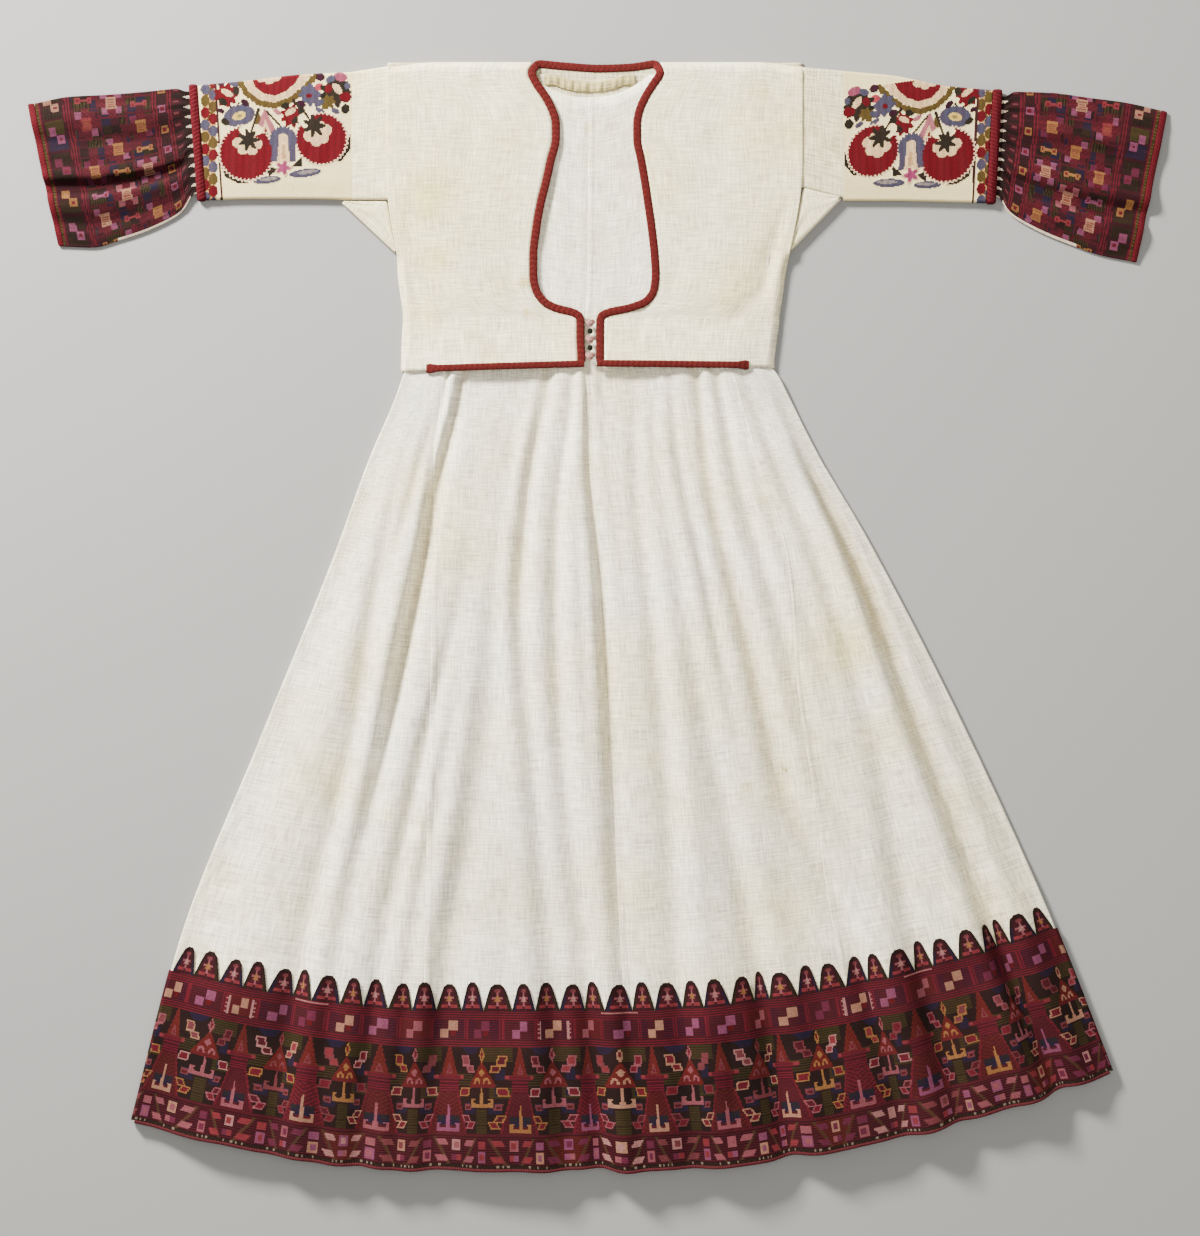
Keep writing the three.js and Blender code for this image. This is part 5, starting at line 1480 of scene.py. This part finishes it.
# Folds of the flared ends: share of the width at the cord and at the wrist, depth and width.
FLARE_FOLDS = {
    "left": ((0.33, 0.40, 1.15, 0.045), (0.62, 0.72, 0.45, 0.09), (0.1, 0.16, 0.5, 0.07)),
    "right": ((0.28, 0.3, 0.9, 0.06), (0.55, 0.62, 0.45, 0.1), (0.8, 0.84, 0.4, 0.08)),
}
LINED = 2 * CHEMISE_LAYER + SEAM_GAP


def sleeve_grid(side, part, rows, across, thickness, inside, share_of):
    """A closed tube's points: along the sleeve by rows, and round it from the lower fold."""
    stations = np.array(SLEEVES[side][part], float)
    k = np.linspace(0, 1, rows)
    at = np.linspace(0, 1, len(stations))
    top_x, top_y, low_x, low_y, lift, puff = (through(at, stations[:, c], k) for c in range(6))
    width = np.hypot(top_x - low_x, top_y - low_y)
    back_z = lift + thickness / 2
    radius = (thickness + inside) / 2
    inset = (radius + thickness / 2) / width
    front = np.linspace(0, 1, across)[None, :]
    back = np.linspace(1, 0, max(12, across // 4))[None, :]
    v_front = inset[:, None] + (1 - 2 * inset[:, None]) * front
    bulge = puff[:, None] * smooth(0, 0.16, v_front) * smooth(0, 0.16, 1 - v_front)
    z_front = back_z[:, None] + 2 * radius + bulge * share_of(v_front, k[:, None])
    turns = np.array([0.2, 0.4, 0.6, 0.8])[None, :] * math.pi
    out = radius * np.sin(turns) / width[:, None]
    z_turn = back_z[:, None] + radius * (1 + np.cos(turns))
    v_back = inset[:, None] + (1 - 2 * inset[:, None]) * back
    z_back = np.broadcast_to(back_z[:, None], v_back.shape)
    v = np.concatenate([v_front, 1 - inset[:, None] + out, v_back, inset[:, None] - out[:, ::-1]], 1)
    z = np.concatenate([z_front, z_turn, z_back, z_turn[:, ::-1]], axis=1)
    x = low_x[:, None] + (top_x - low_x)[:, None] * v
    y = low_y[:, None] + (top_y - low_y)[:, None] * v
    return np.stack([x, y, z], axis=-1), v


def even_puff(v, k):
    return 0.6 + 0.12 * np.sin(9 * v + 5 * k) * np.sin(7 * k + 2)


def flare_share(side):
    def share_of(v, k):
        share = 0.62 + 0.08 * np.sin(17 * v + 3 * k) + 0.05 * np.sin(31 * v - 5 * k)
        for near, far, depth, wide in FLARE_FOLDS[side]:
            off = (v - mix(near, far, k)) / wide
            share = share - depth * np.exp(-(off**2))
            share = share + 0.45 * depth * np.exp(-(((off - 1.9) / 1.1) ** 2))
        return np.clip(share, 0, 1)

    return share_of


def tube(name, side, grid, colours=None):
    ring = np.concatenate([grid, grid[:, :1]], axis=1)
    uv = lengths_uv(ring)
    if side == "left":
        grid, uv = grid[:, ::-1], uv[:, ::-1]
        if colours is not None:
            colours = np.roll(colours[:, ::-1], -1, axis=1)
    return sew(name, grid, uv, closed=True, face_colour=colours)


def face_centres(grid):
    following = np.roll(grid, -1, axis=1)
    return (grid[:-1] + grid[1:] + following[:-1] + following[1:]) / 4


# ---- flowered cotton, charted on a card ruled in squares of 1.02 mm
CARD = 1.02
LINEN = (0.86, 0.785, 0.58)
BLUE_GREY = (0.36, 0.40, 0.48)
OLIVE = (0.42, 0.40, 0.20)
LEAF = (0.16, 0.21, 0.15)
PETAL = (0.47, 0.04, 0.14)
CREAM_SILK = (0.90, 0.83, 0.68)
SCROLL_GROUND = (0.84, 0.74, 0.52)
PLUM = (0.24, 0.13, 0.22)
DULL_ROSE = (0.72, 0.52, 0.55)
GREY_SILK = (0.62, 0.62, 0.60)
PALE_EDGE = (0.93, 0.87, 0.75)
# Two columns of leaves on the scroll at the cord: start, offset and colours in turn.
SCROLL_LEAVES = (
    (0.0, -4.0, (PETAL, BLUE_GREY, OLIVE)),
    (6.0, 4.2, (OLIVE, PETAL, BLUE_GREY)),
)
FLOWER_DABS = (
    # crescent at the shoulder with a flower's cup in it
    ("band", ((240, 82), (248, 95), (260, 104), (275, 107), (292, 101), (306, 89), (316, 77)), 3.6, OLIVE),
    ("poly", ((242, 76), (249, 92), (260, 101), (275, 104), (291, 98), (304, 86), (312, 75)), CREAM_SILK),
    ("poly", ((251, 75), (256, 88), (264, 95), (276, 97), (288, 92), (297, 83), (301, 75)), PETAL),
    ("oval", 262, 79, 5, 4.5, 0, CREAM_SILK),
    ("oval", 270, 81, 5, 4.5, 0, CREAM_SILK),
    ("oval", 277, 78, 5, 4.5, 0, CREAM_SILK),
    # stems
    ("line", ((260, 110), (254, 129), (252, 139)), 1.1, LEAF),
    ("line", ((267, 112), (283, 129), (288, 136)), 1.1, LEAF),
    ("line", ((294, 103), (309, 117), (317, 124)), 1.1, LEAF),
    ("line", ((240, 104), (236, 110), (228, 106)), 1.0, LEAF),
    ("line", ((216, 70), (219, 120), (223, 215)), 1.1, (0.30, 0.20, 0.20)),
    # tulip
    ("poly", ((265, 109), (255, 137), (280, 137)), DULL_ROSE),
    ("poly", ((266, 121), (261, 137), (273, 137)), CREAM_SILK),
    ("poly", ((266, 128), (264, 137), (270, 137)), PETAL),
    # small flowers
    ("oval", 240, 117, 16, 10.5, -0.25, BLUE_GREY),
    ("burst", 240, 117, 11, 18, 0.09, BLUE_GREY),
    ("oval", 240, 117, 7, 4, -0.35, (0.86, 0.80, 0.50)),
    ("oval", 241, 117, 2.6, 1.6, -0.35, (0.62, 0.60, 0.40)),
    ("burst", 227, 96, 11, 9, 0.16, PETAL),
    ("oval", 224, 103, 5, 3, 0.7, LEAF),
    ("oval", 228, 94, 6.5, 3, 0.5, CREAM_SILK),
    ("burst", 293, 117, 10.5, 9, 0.16, PETAL),
    ("oval", 297, 121, 5.5, 3, -0.7, LEAF),
    ("oval", 291, 113, 6, 2.8, -0.5, CREAM_SILK),
    ("burst", 311, 96, 10.5, 8, 0.14, BLUE_GREY),
    ("oval", 310, 97, 3, 2.4, 0, PETAL),
    ("oval", 320, 88, 4.6, 4, 0, (0.72, 0.36, 0.42)),
    ("burst", 336, 93, 14, 9, 0.16, LEAF),
    ("oval", 338, 90, 6.5, 3.4, 0.9, CREAM_SILK),
    ("oval", 346, 98, 6, 5, 0, PETAL),
    ("oval", 341, 78, 7, 4.5, 0.2, (0.66, 0.40, 0.50)),
    ("oval", 348, 87, 3.2, 3.6, 0, BLUE_GREY),
    ("oval", 321, 112, 6, 2.6, 0.6, BLUE_GREY),
    ("oval", 327, 107, 5, 2.2, -0.6, OLIVE),
    ("oval", 246, 130, 4, 2.6, 0.4, PLUM),
    ("oval", 305, 128, 4.4, 2.8, -0.4, PLUM),
    ("oval", 222, 112, 3.6, 2.4, 0.4, PLUM),
    # small leaves, buds and petals that fill the spaces above
    ("oval", 234, 84, 5.5, 3.2, 0.6, BLUE_GREY),
    ("oval", 222, 84, 4.2, 3.0, -0.5, PLUM),
    ("oval", 237, 92, 3.6, 4.4, 0.2, LEAF),
    ("oval", 246, 104, 4.6, 3.0, 0.7, PLUM),
    ("oval", 258, 121, 3.0, 6.0, 0.4, OLIVE),
    ("oval", 278, 113, 4.6, 2.4, 0.5, DULL_ROSE),
    ("oval", 286, 107, 4.2, 3.0, -0.4, LEAF),
    ("oval", 302, 105, 4.6, 3.2, 0.4, PLUM),
    ("oval", 302, 112, 3.4, 4.2, 0.2, LEAF),
    ("burst", 329, 103, 6.5, 7, 0.2, OLIVE),
    ("oval", 321, 78, 4.6, 4.2, 0, PLUM),
    ("oval", 331, 80, 5.0, 3.4, -0.4, BLUE_GREY),
    ("oval", 329, 90, 3.6, 4.6, 0.3, PETAL),
    ("oval", 320, 104, 5.5, 3.2, -0.5, BLUE_GREY),
    ("oval", 346, 110, 4.4, 5.0, 0.2, LEAF),
    ("oval", 336, 112, 4.4, 2.6, 0.4, BLUE_GREY),
    ("oval", 226, 123, 4.6, 3.2, 0.6, LEAF),
    # leaves under the big flowers
    ("poly", ((222, 166), (226, 178), (238, 184), (250, 184), (240, 179), (230, 172)), LEAF),
    ("poly", ((330, 163), (342, 162), (351, 150), (351, 134), (346, 148), (340, 157)), LEAF),
    ("oval", 268, 181, 14, 3.6, -0.12, BLUE_GREY),
    ("oval", 306, 174, 16, 4.2, -0.12, BLUE_GREY),
    ("oval", 270, 180, 9, 1.6, -0.12, GREY_SILK),
    ("oval", 308, 173, 10, 1.8, -0.12, GREY_SILK),
    ("poly", ((266, 166), (279, 170), (270, 178)), LEAF),
    ("poly", ((292, 168), (303, 157), (303, 168)), LEAF),
    # two great flowers: serrated petals round a scalloped cup with a leafy calyx
    ("burst", 247.5, 154, 28.4, 40, 0.03, PALE_EDGE),
    ("burst", 247.5, 154, 26.6, 40, 0.035, PETAL),
    ("oval", 252, 131, 12, 6, 0, LINEN),
    ("oval", 239, 144, 5.5, 5.5, 0, CREAM_SILK),
    ("oval", 244, 150.5, 5.5, 5.2, 0, CREAM_SILK),
    ("oval", 253, 151, 5.5, 5.2, 0, CREAM_SILK),
    ("oval", 258, 145, 5.0, 5.2, 0, CREAM_SILK),
    ("oval", 250, 144, 12, 7, 0, CREAM_SILK),
    ("burst", 249.5, 141, 8.6, 7, 0.32, LEAF),
    ("burst", 322, 140, 26.6, 40, 0.03, PALE_EDGE),
    ("burst", 322, 140, 25, 40, 0.035, PETAL),
    ("oval", 307, 122, 9, 7, 0.6, LINEN),
    ("oval", 310, 137, 5.6, 5.6, 0, CREAM_SILK),
    ("oval", 317, 142, 5.6, 5.6, 0, CREAM_SILK),
    ("oval", 324, 139, 5.6, 5.6, 0, CREAM_SILK),
    ("oval", 327, 131, 5.6, 5.6, 0, CREAM_SILK),
    ("oval", 318, 130, 9, 9, 0, CREAM_SILK),
    ("burst", 315, 127, 9, 7, 0.32, LEAF),
    ("line", ((259, 110), (255, 124), (250, 139)), 1.1, LEAF),
    ("line", ((294, 101), (307, 116), (314, 126)), 1.1, LEAF),
    # keyhole between them, with a star under it
    ("burst", 284, 141, 13.6, 22, 0.05, BLUE_GREY),
    ("poly", ((273, 142), (272, 163), (297, 163), (296, 142)), BLUE_GREY),
    ("oval", 284, 139, 5.0, 4.5, 0, CREAM_SILK),
    ("poly", ((280, 138), (278, 163), (291, 163), (288, 138)), CREAM_SILK),
    ("poly", ((283, 146), (282, 160), (287, 160), (286, 146)), (0.80, 0.70, 0.55)),
    ("burst", 284, 169, 7.5, 5, 0.3, CREAM_SILK),
    ("burst", 284, 169, 5.6, 5, 0.3, (0.66, 0.36, 0.52)),
)


def near_line(x, y, points):
    """Distance from a line through points."""
    best = np.full(x.shape, 1e9)
    for (x0, y0), (x1, y1) in zip(points[:-1], points[1:]):
        dx, dy = x1 - x0, y1 - y0
        k = np.clip(((x - x0) * dx + (y - y0) * dy) / (dx * dx + dy * dy), 0, 1)
        best = np.minimum(best, np.hypot(x - x0 - k * dx, y - y0 - k * dy))
    return best


def inside(x, y, points):
    hit = np.zeros(x.shape, bool)
    for (x0, y0), (x1, y1) in zip(points, points[1:] + points[:1]):
        if y0 == y1:
            continue
        crosses = (y0 > y) != (y1 > y)
        hit ^= crosses & (x < x0 + (x1 - x0) * (y - y0) / (y1 - y0))
    return hit


def paint_flowers(x, y):
    """Colours of a flowered sleeve at places on the card."""
    canvas = np.zeros((*x.shape, 3))
    canvas[:] = LINEN
    scroll = x < 216 + (y - 78) * 0.045
    wander = x - 210 - 3.2 * np.sin(y / 4.2)
    canvas[scroll & (np.abs(x - 210) < 6.5)] = SCROLL_GROUND
    canvas[scroll & (np.abs(wander) < 1.5)] = OLIVE
    for start, offset, shades in SCROLL_LEAVES:
        blob = (np.mod(y + start, 12.0) - 6.0) / 5.7
        hue = np.mod(np.floor((y + start) / 12.0), 3)
        near = scroll & (((x - 210 - offset) / 4.6) ** 2 + blob**2 < 1)
        for i, shade in enumerate(shades):
            canvas[near & (hue == i)] = shade
    for kind, *dab_of in FLOWER_DABS:
        if kind in ("line", "band"):
            points, wide, colour = dab_of
            mask = near_line(x, y, points) < wide
            if kind == "band":
                mask &= near_line(x, y, points) < wide * (0.86 + 0.14 * np.sin(x * 1.5))
        elif kind == "poly":
            points, colour = dab_of
            mask = inside(x, y, points)
        elif kind == "oval":
            cx, cy, rx, ry, turn, colour = dab_of
            c, s = math.cos(turn), math.sin(turn)
            u, v = (x - cx) * c + (y - cy) * s, (y - cy) * c - (x - cx) * s
            mask = (u / rx) ** 2 + (v / ry) ** 2 < 1
        else:
            cx, cy, r, teeth, deep, colour = dab_of
            far, angle = np.hypot(x - cx, y - cy), np.arctan2(y - cy, x - cx)
            mask = far < r * (1 + deep * np.cos(teeth * angle))
        canvas[mask] = colour
    return canvas


def paint_sleeve(side, grid):
    centre = face_centres(grid)
    x = centre[..., 0] / CARD + 597.5
    y = 612 - centre[..., 1] / CARD
    if side == "right":
        x = 1194.5 - x
        y = y - 2 - 0.134 * (x - 247.5)
    silky = paint_flowers(x, y)
    plain = np.all(np.abs(silky - LINEN) < 1e-6, axis=-1)
    canvas = aged(silky.copy(), x, y)
    canvas[plain] = silky[plain] * (1 + 0.05 * (chance.random(plain.sum()) - 0.5))[:, None]
    return np.clip(canvas, 0, 1), ~plain


def raised(grid, on, height):
    """Lifts the grid's points where stitches lie on the cloth."""
    share = on.astype(float)
    share = (share + np.roll(share, 1, axis=1)) / 2
    padded = np.concatenate([share[:1], share, share[-1:]])
    lift = (padded[:-1] + padded[1:]) / 2
    normal = grid_normals(grid, closed=True)
    normal *= np.sign(normal[len(grid) // 2, grid.shape[1] // 3, 2])
    return grid + normal * (height * lift)[..., None]


FLOWER_SILK = silk("flower_silk", bump=0.55)
CUFF_SILK = silk("cuff_silk", bump=0.6)


def embroidered_sleeve(side):
    grid, _ = sleeve_grid(side, "embroidered", 146, 122, JACKET_CLOTH, LINED, even_puff)
    colours, on = paint_sleeve(side, grid)
    grid = raised(grid, on, 0.35)
    name = "jacket_sleeve_" + side
    piece = tube(name, side, grid, colours)
    piece.data.materials.append(FLOWER_SILK)
    cloth_piece(piece, name)


# ---- cross-stitched flared ends
CUFF_LENGTH = 168.0
CUFF_AROUND = 150.0
LINEN_SILK = (0.93, 0.90, 0.83)
# The flared ends' colours are multiplied by these: the left end is darker than the right.
CUFF_DARKENING = {"left": 0.84, "right": 1.0}


def paint_cuff(d, w):
    """Colours at a distance in from the wrist and a distance round from the lower fold."""
    canvas = np.zeros((*d.shape, 3))
    everywhere = d > -5
    stripes(canvas, everywhere, d, 3.0, "crimson", "wine")
    dab(canvas, d < 2.4, "green")
    dab(canvas, (d < 2.4) & (np.mod(w, 3) < 0.9), (0.45, 0.40, 0.20))
    # band of stepped pairs of squares
    band = (d > 5) & (d < 30)
    dab(canvas, band, "wine")
    k = np.floor(w / 32)
    x = w - (k + 0.5) * 32
    field = band & (np.abs(np.abs(x) - 8) < 6.6) & (d > 7) & (d < 28)
    dab(canvas, field, pick(k + (x > 0), ("navy", "moss", "wine", "navy", "green")))
    stripes(canvas, field & (np.mod(k, 2) == 0), d, 2.6, "moss", "black")
    squares = box_mask(x, d, -8.5, 0, 17, 25.5) | box_mask(x, d, 0, 8.5, 9.5, 18)
    dab(canvas, squares, pick(k, ("lilac", "yellow", "mauve", "lilac", "cream")))
    dab(canvas, box_mask(x, d, -5.6, -2.8, 19.5, 23), "crimson")
    # main field: quincunxes between small anchors and dumb-bells
    main = (d > 38) & (d < 128)
    row = np.floor((d - 38) / 30)
    y = d - 38 - (row + 0.5) * 30
    drift = w + 24 * np.mod(row, 2) + 4 * row
    col = np.floor(drift / 48)
    x = drift - (col + 0.5) * 48
    number = col + 2 * row
    block = np.floor(drift / 12) + 3 * np.floor(d / 10)
    grounds = ("moss", "navy", "maroon", "black", "wine", "navy", "maroon", "green")
    dab(canvas, main, pick(block, grounds))
    ruled = main & np.isin(np.mod(block, 8), (2, 7))
    stripes(canvas, ruled, d, 2.6, "green", "black")
    diamond = main & (np.abs(x) + np.abs(y) < 17)
    dab(canvas, diamond, "maroon")
    dab(canvas, diamond & (np.mod(x + y, 5.2) < 1.3), "crimson")
    frame_line = main & ((np.abs(np.abs(x) - 15) < 0.8) | (np.abs(np.abs(y) - 14.4) < 0.6))
    dab(canvas, frame_line, "maroon")
    off_x, off_y = np.abs(x) - 8.4, np.abs(y) - 7.8
    corner = main & (np.abs(off_x) < 3.5) & (np.abs(off_y) < 3.5)
    dab(canvas, corner, pick(number, ("lilac", "mauve", "lilac", "pink", "lilac")))
    dab(canvas, corner & (x * y > 0) & (np.mod(number, 2) == 0), "maroon")
    hourglass = np.maximum(np.abs(x), np.abs(y) * (1.25 - 0.03 * np.abs(x)))
    middles = ("cream", "yellow", "rose", "cream", "yellow")
    dab(canvas, main & (hourglass < 6.4), pick(number, middles))
    lit = main & (hourglass < 4.6) & (np.mod(x, 2.4) < 1.2)
    dab(canvas, lit, (0.55, 0.36, 0.28))
    # between them, a dumb-bell or a small anchor
    x2 = x - 24 * np.sign(x)
    ends = main & (np.abs(np.abs(y) - 6.5) < 2.6) & (np.abs(x2) < 3.2)
    bar = main & (np.abs(x2) < 1.3) & (np.abs(y) < 7)
    place = number + (x > 0)
    shown = np.mod(place, 3) < 2
    dab(canvas, (ends | bar) & shown, pick(place, ("yellow", "lilac", "yellow", "rose")))
    dab(canvas, main & (np.abs(np.abs(y) - 6.5) < 1.1) & (np.abs(x2) < 1.4) & shown, "crimson")
    lines = ((d > 30) & (d < 38)) | ((d > 128) & (d < 133)) | ((d > 144) & (d < 149))
    stripes(canvas, lines, d, 3.2, "crimson", "wine")
    # narrow band of small squares
    narrow = (d > 133) & (d < 144)
    stripes(canvas, narrow, w + d, 5.0, "black", "wine")
    k = np.floor(w / 23)
    x = w - (k + 0.5) * 23
    far = np.maximum(np.abs(x), np.abs(d - 138.5))
    outer = narrow & (far < 4.2)
    dab(canvas, outer, pick(k, ("yellow", "lilac")))
    dab(canvas, narrow & (far < 2.2), "crimson")
    # dark scallops towards the cord, with points of bare cotton between their tips
    tips = d > 149
    dab(canvas, tips, "black")
    x = np.mod(w, 14) - 7
    dab(canvas, tips & (np.abs(x) < 4.6) & (d < 160), "wine")
    dab(canvas, tips & (np.abs(x) < 1.3) & (d > 151) & (d < 157), "dusty")
    dab(canvas, tips & (np.abs(x) > 7 - 2.4 * np.clip((d - 162) / 6, 0, 1)) & (d > 162), LINEN_SILK)
    # the cotton that shows below the stitches along the under edge
    dab(canvas, (w < 3.2) & (d > 62) & (d < 160), LINEN_SILK)
    return canvas


def sleeve_end(side):
    share = flare_share(side)
    grid, v = sleeve_grid(side, "flare", 158, 140, CHEMISE_CLOTH, SEAM_GAP, share)
    k = np.linspace(0, 1, len(grid))[:, None]
    gathers = smooth(0.12, 0.22, k) * smooth(0.62, 0.2, k)
    front = grid[..., 2] > 2.4
    grid[..., 2] += np.where(front, gathers * 0.35 * (1 + np.sin(v * 61 + 3 * np.sin(v * 14))), 0)
    steps = np.linalg.norm(np.diff(grid, axis=0), axis=-1)
    left_over = np.concatenate([np.cumsum(steps[::-1], axis=0)[::-1], np.zeros((1, grid.shape[1]))])
    shown = left_over[int(len(grid) * 0.17)]
    d = left_over / shown[None, :] * CUFF_LENGTH
    d_mid, v_mid = (d[:-1] + d[1:]) / 2, (v[:-1] + v[1:]) / 2
    colours = aged(paint_cuff(d_mid, v_mid * CUFF_AROUND), v_mid * 150, d_mid)
    # Darken the left end's colours.
    colours *= CUFF_DARKENING[side]
    name = "sleeve_end_" + side
    piece = tube(name, side, grid, colours)
    piece.data.materials.append(CUFF_SILK)
    cloth_piece(piece, name)


def cord_ring(side, part, name, rows, pitch, lift):
    share = even_puff if part == "ring" else (lambda v, k: flare_share(side)(v, np.ones_like(v)))
    cloth = (JACKET_CLOTH, LINED) if part == "ring" else (CHEMISE_CLOTH, SEAM_GAP)
    grid, v = sleeve_grid(side, part, rows, 130, *cloth, share)
    k = np.linspace(0, 1, rows)[:, None]
    w = v * 140
    twist = np.sin(2 * math.pi * (w / pitch + k * 1.1))
    normal = grid_normals(grid, closed=True)
    normal *= -1 if side == "left" else 1
    bulge = lift * (np.sin(math.pi * k) ** 0.6 * (1 + 0.12 * twist) - 0.4)
    grid = grid + normal * bulge[..., None]
    grid[..., 2] = np.maximum(grid[..., 2], 0.15)
    dark, light = (np.array(c) for c in CORD_REDS)
    canvas = mix(dark, light, (0.5 + 0.5 * twist[:-1])[..., None])
    canvas = canvas * (1 + 0.14 * (chance.random(canvas.shape[:2]) - 0.5))[..., None]
    piece = tube(name, side, grid, np.clip(canvas, 0, 1))
    strip_piece(piece, name)


STRIP_COTTON = cotton("strip_cotton", (0.80, 0.72, 0.48), (0.71, 0.62, 0.37), slub=1.2)
CORD_REDS = ((0.26, 0.055, 0.08), (0.32, 0.08, 0.105))


def plain_tube(side, part, name, cloth, share, material):
    grid, _ = sleeve_grid(side, part, 24, 60, *cloth, share)
    piece = tube(name, side, grid)
    piece.data.materials.append(material)
    cloth_piece(piece, name)


for side in ("left", "right"):
    strip_cloth = JACKET_COTTON if side == "left" else STRIP_COTTON
    outer, inner = (JACKET_CLOTH, LINED), (CHEMISE_CLOTH, SEAM_GAP)
    plain_tube(side, "strip", "jacket_sleeve_strip_" + side, outer, even_puff, strip_cloth)
    plain_tube(side, "lining", "chemise_sleeve_" + side, inner, even_puff, CHEMISE_COTTON)
    embroidered_sleeve(side)
    sleeve_end(side)
    cord_ring(side, "ring", "jacket_cuff_braid_" + side, 12, 4.6, 1.5)
    cord_ring(side, "binding", "wrist_binding_" + side, 9, 3.0, 0.7)

# ---- gussets: folded squares of cotton under the arms
GUSSETS = {
    "left": ((-262, 417.5), (-214.5, 417.5), (-205, 364)),
    "right": ((250, 421.5), (210, 431.5), (197, 367)),
}


def gusset(side):
    a, c, b = (np.array(p, float) for p in GUSSETS[side])
    back_z = JACKET_CLOTH / 2
    front_z = back_z + JACKET_CLOTH + LINED
    radius = (front_z - back_z) / 2
    outward = np.array([b[1] - a[1], a[0] - b[0]])
    outward /= np.linalg.norm(outward)
    if outward @ (c - a) > 0:
        outward = -outward
    rows = []
    for k in np.linspace(0.03, 0.97, 30):
        inner = mix(a, c, 2 * k) if k < 0.5 else mix(c, b, 2 * k - 1)
        inner = inner - outward * 0.6
        outer = mix(a, b, k) - outward * (radius + JACKET_CLOTH / 2)
        row = []
        for share in np.linspace(0, 1, 14):
            ripple = 0.5 * math.sin(share * 9 + k * 8) * math.sin(math.pi * share)
            tuck = 0.9 * smooth(0.12, 0.0, share)
            row.append((*mix(inner, outer, share), front_z + ripple - tuck))
        for share in (0.2, 0.4, 0.6, 0.8):
            turned = outer + outward * radius * math.sin(math.pi * share)
            row.append((*turned, back_z + radius * (1 + math.cos(math.pi * share))))
        for share in np.linspace(1, 0, 6):
            row.append((*mix(inner, outer, share), back_z))
        rows.append(row)
    grid = np.array(rows)
    if side == "left":
        grid = grid[:, ::-1]
    name = "gusset_" + side
    cloth_wall(
        name, grid, COTTON_WALL, JACKET_COTTON,
    )


for side in ("left", "right"):
    gusset(side)

# ---------------------------------------------------------------- knot buttons and loops
# Three knots of pink thread hold the jacket's fronts together. Below each of the first two sits a small
# dark flattened ball: painted shadow in the opening there.
BUTTON_X = -7.4
BUTTON_YS = (294, 277, 260)
GAP_SHADOW_REACH = 2.5
GAP_SHADOW_DROP = 8.5
KNOT_PINK = (0.70, 0.52, 0.49)
GAP_SHADOW = (0.13, 0.13, 0.10)
# Each strand of a knot: across, up, radius, thickness and tilt.
KNOT_STRANDS = (
    (-2.2, 1.2, 2.1, 0.85, 0.5),
    (2.3, 0.9, 2.0, 0.8, -0.5),
    (0.0, -1.6, 2.3, 0.8, 0.1),
    (0.3, 0.5, 1.5, 0.9, 0.9),
)
KNOT_THREAD = silk("knot_thread", bump=0.8)


def knot(number, y):
    base = float(jacket_height(np.array(BUTTON_X), np.array(float(y)), FAR_FROM_SIDE))
    parts = []
    for dx, dy, major, minor, tilt in KNOT_STRANDS:
        bpy.ops.mesh.primitive_torus_add(
            location=((BUTTON_X + dx) * MM, (y + dy) * MM, (base + 3.0) * MM),
            rotation=(tilt, tilt * 0.6, dx),
            major_radius=major * MM,
            minor_radius=minor * MM,
            major_segments=20,
            minor_segments=10,
        )
        parts.append(bpy.context.object)
    bpy.ops.mesh.primitive_uv_sphere_add(
        segments=20,
        ring_count=12,
        radius=2.6 * MM,
        location=(BUTTON_X * MM, y * MM, (base + 2.6) * MM),
        scale=(1.5, 1.2, 0.9),
    )
    parts.append(bpy.context.object)
    # A dark flattened ball below the knot, painted shadow in the opening.
    if number < len(BUTTON_YS):
        bpy.ops.mesh.primitive_uv_sphere_add(
            segments=16,
            ring_count=10,
            radius=GAP_SHADOW_REACH * MM,
            location=(BUTTON_X * MM, (y - GAP_SHADOW_DROP) * MM, (base + 1.4) * MM),
            scale=(1.1, 1.2, 0.6),
        )
        parts.append(bpy.context.object)
    bpy.ops.object.select_all(action="DESELECT")
    for part in parts:
        part.select_set(True)
    bpy.ops.object.join()
    piece = bpy.context.object
    bpy.ops.object.transform_apply(location=True, rotation=True, scale=True)
    piece.name = "knot_button_" + str(number)
    piece.data.uv_layers.active.name = "cloth"
    tint = piece.data.color_attributes.new("stitches", "BYTE_COLOR", "CORNER")
    rgba = np.ones((len(piece.data.loops), 4), np.float32)
    rgba[:, :3] = KNOT_PINK
    corners = np.array([piece.data.vertices[loop.vertex_index].co.y for loop in piece.data.loops])
    # The ball's corners are coloured dark as painted shadow.
    rgba[corners < (y - GAP_SHADOW_DROP + 1.3 * GAP_SHADOW_REACH) * MM, :3] = GAP_SHADOW
    tint.data.foreach_set("color_srgb", rgba.ravel())
    piece.data.shade_smooth()
    piece.data.materials.append(KNOT_THREAD)
    piece.select_set(False)
    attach(piece, "root")
    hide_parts("knot_button_" + str(number))


for number, y in enumerate(BUTTON_YS, 1):
    knot(number, y)
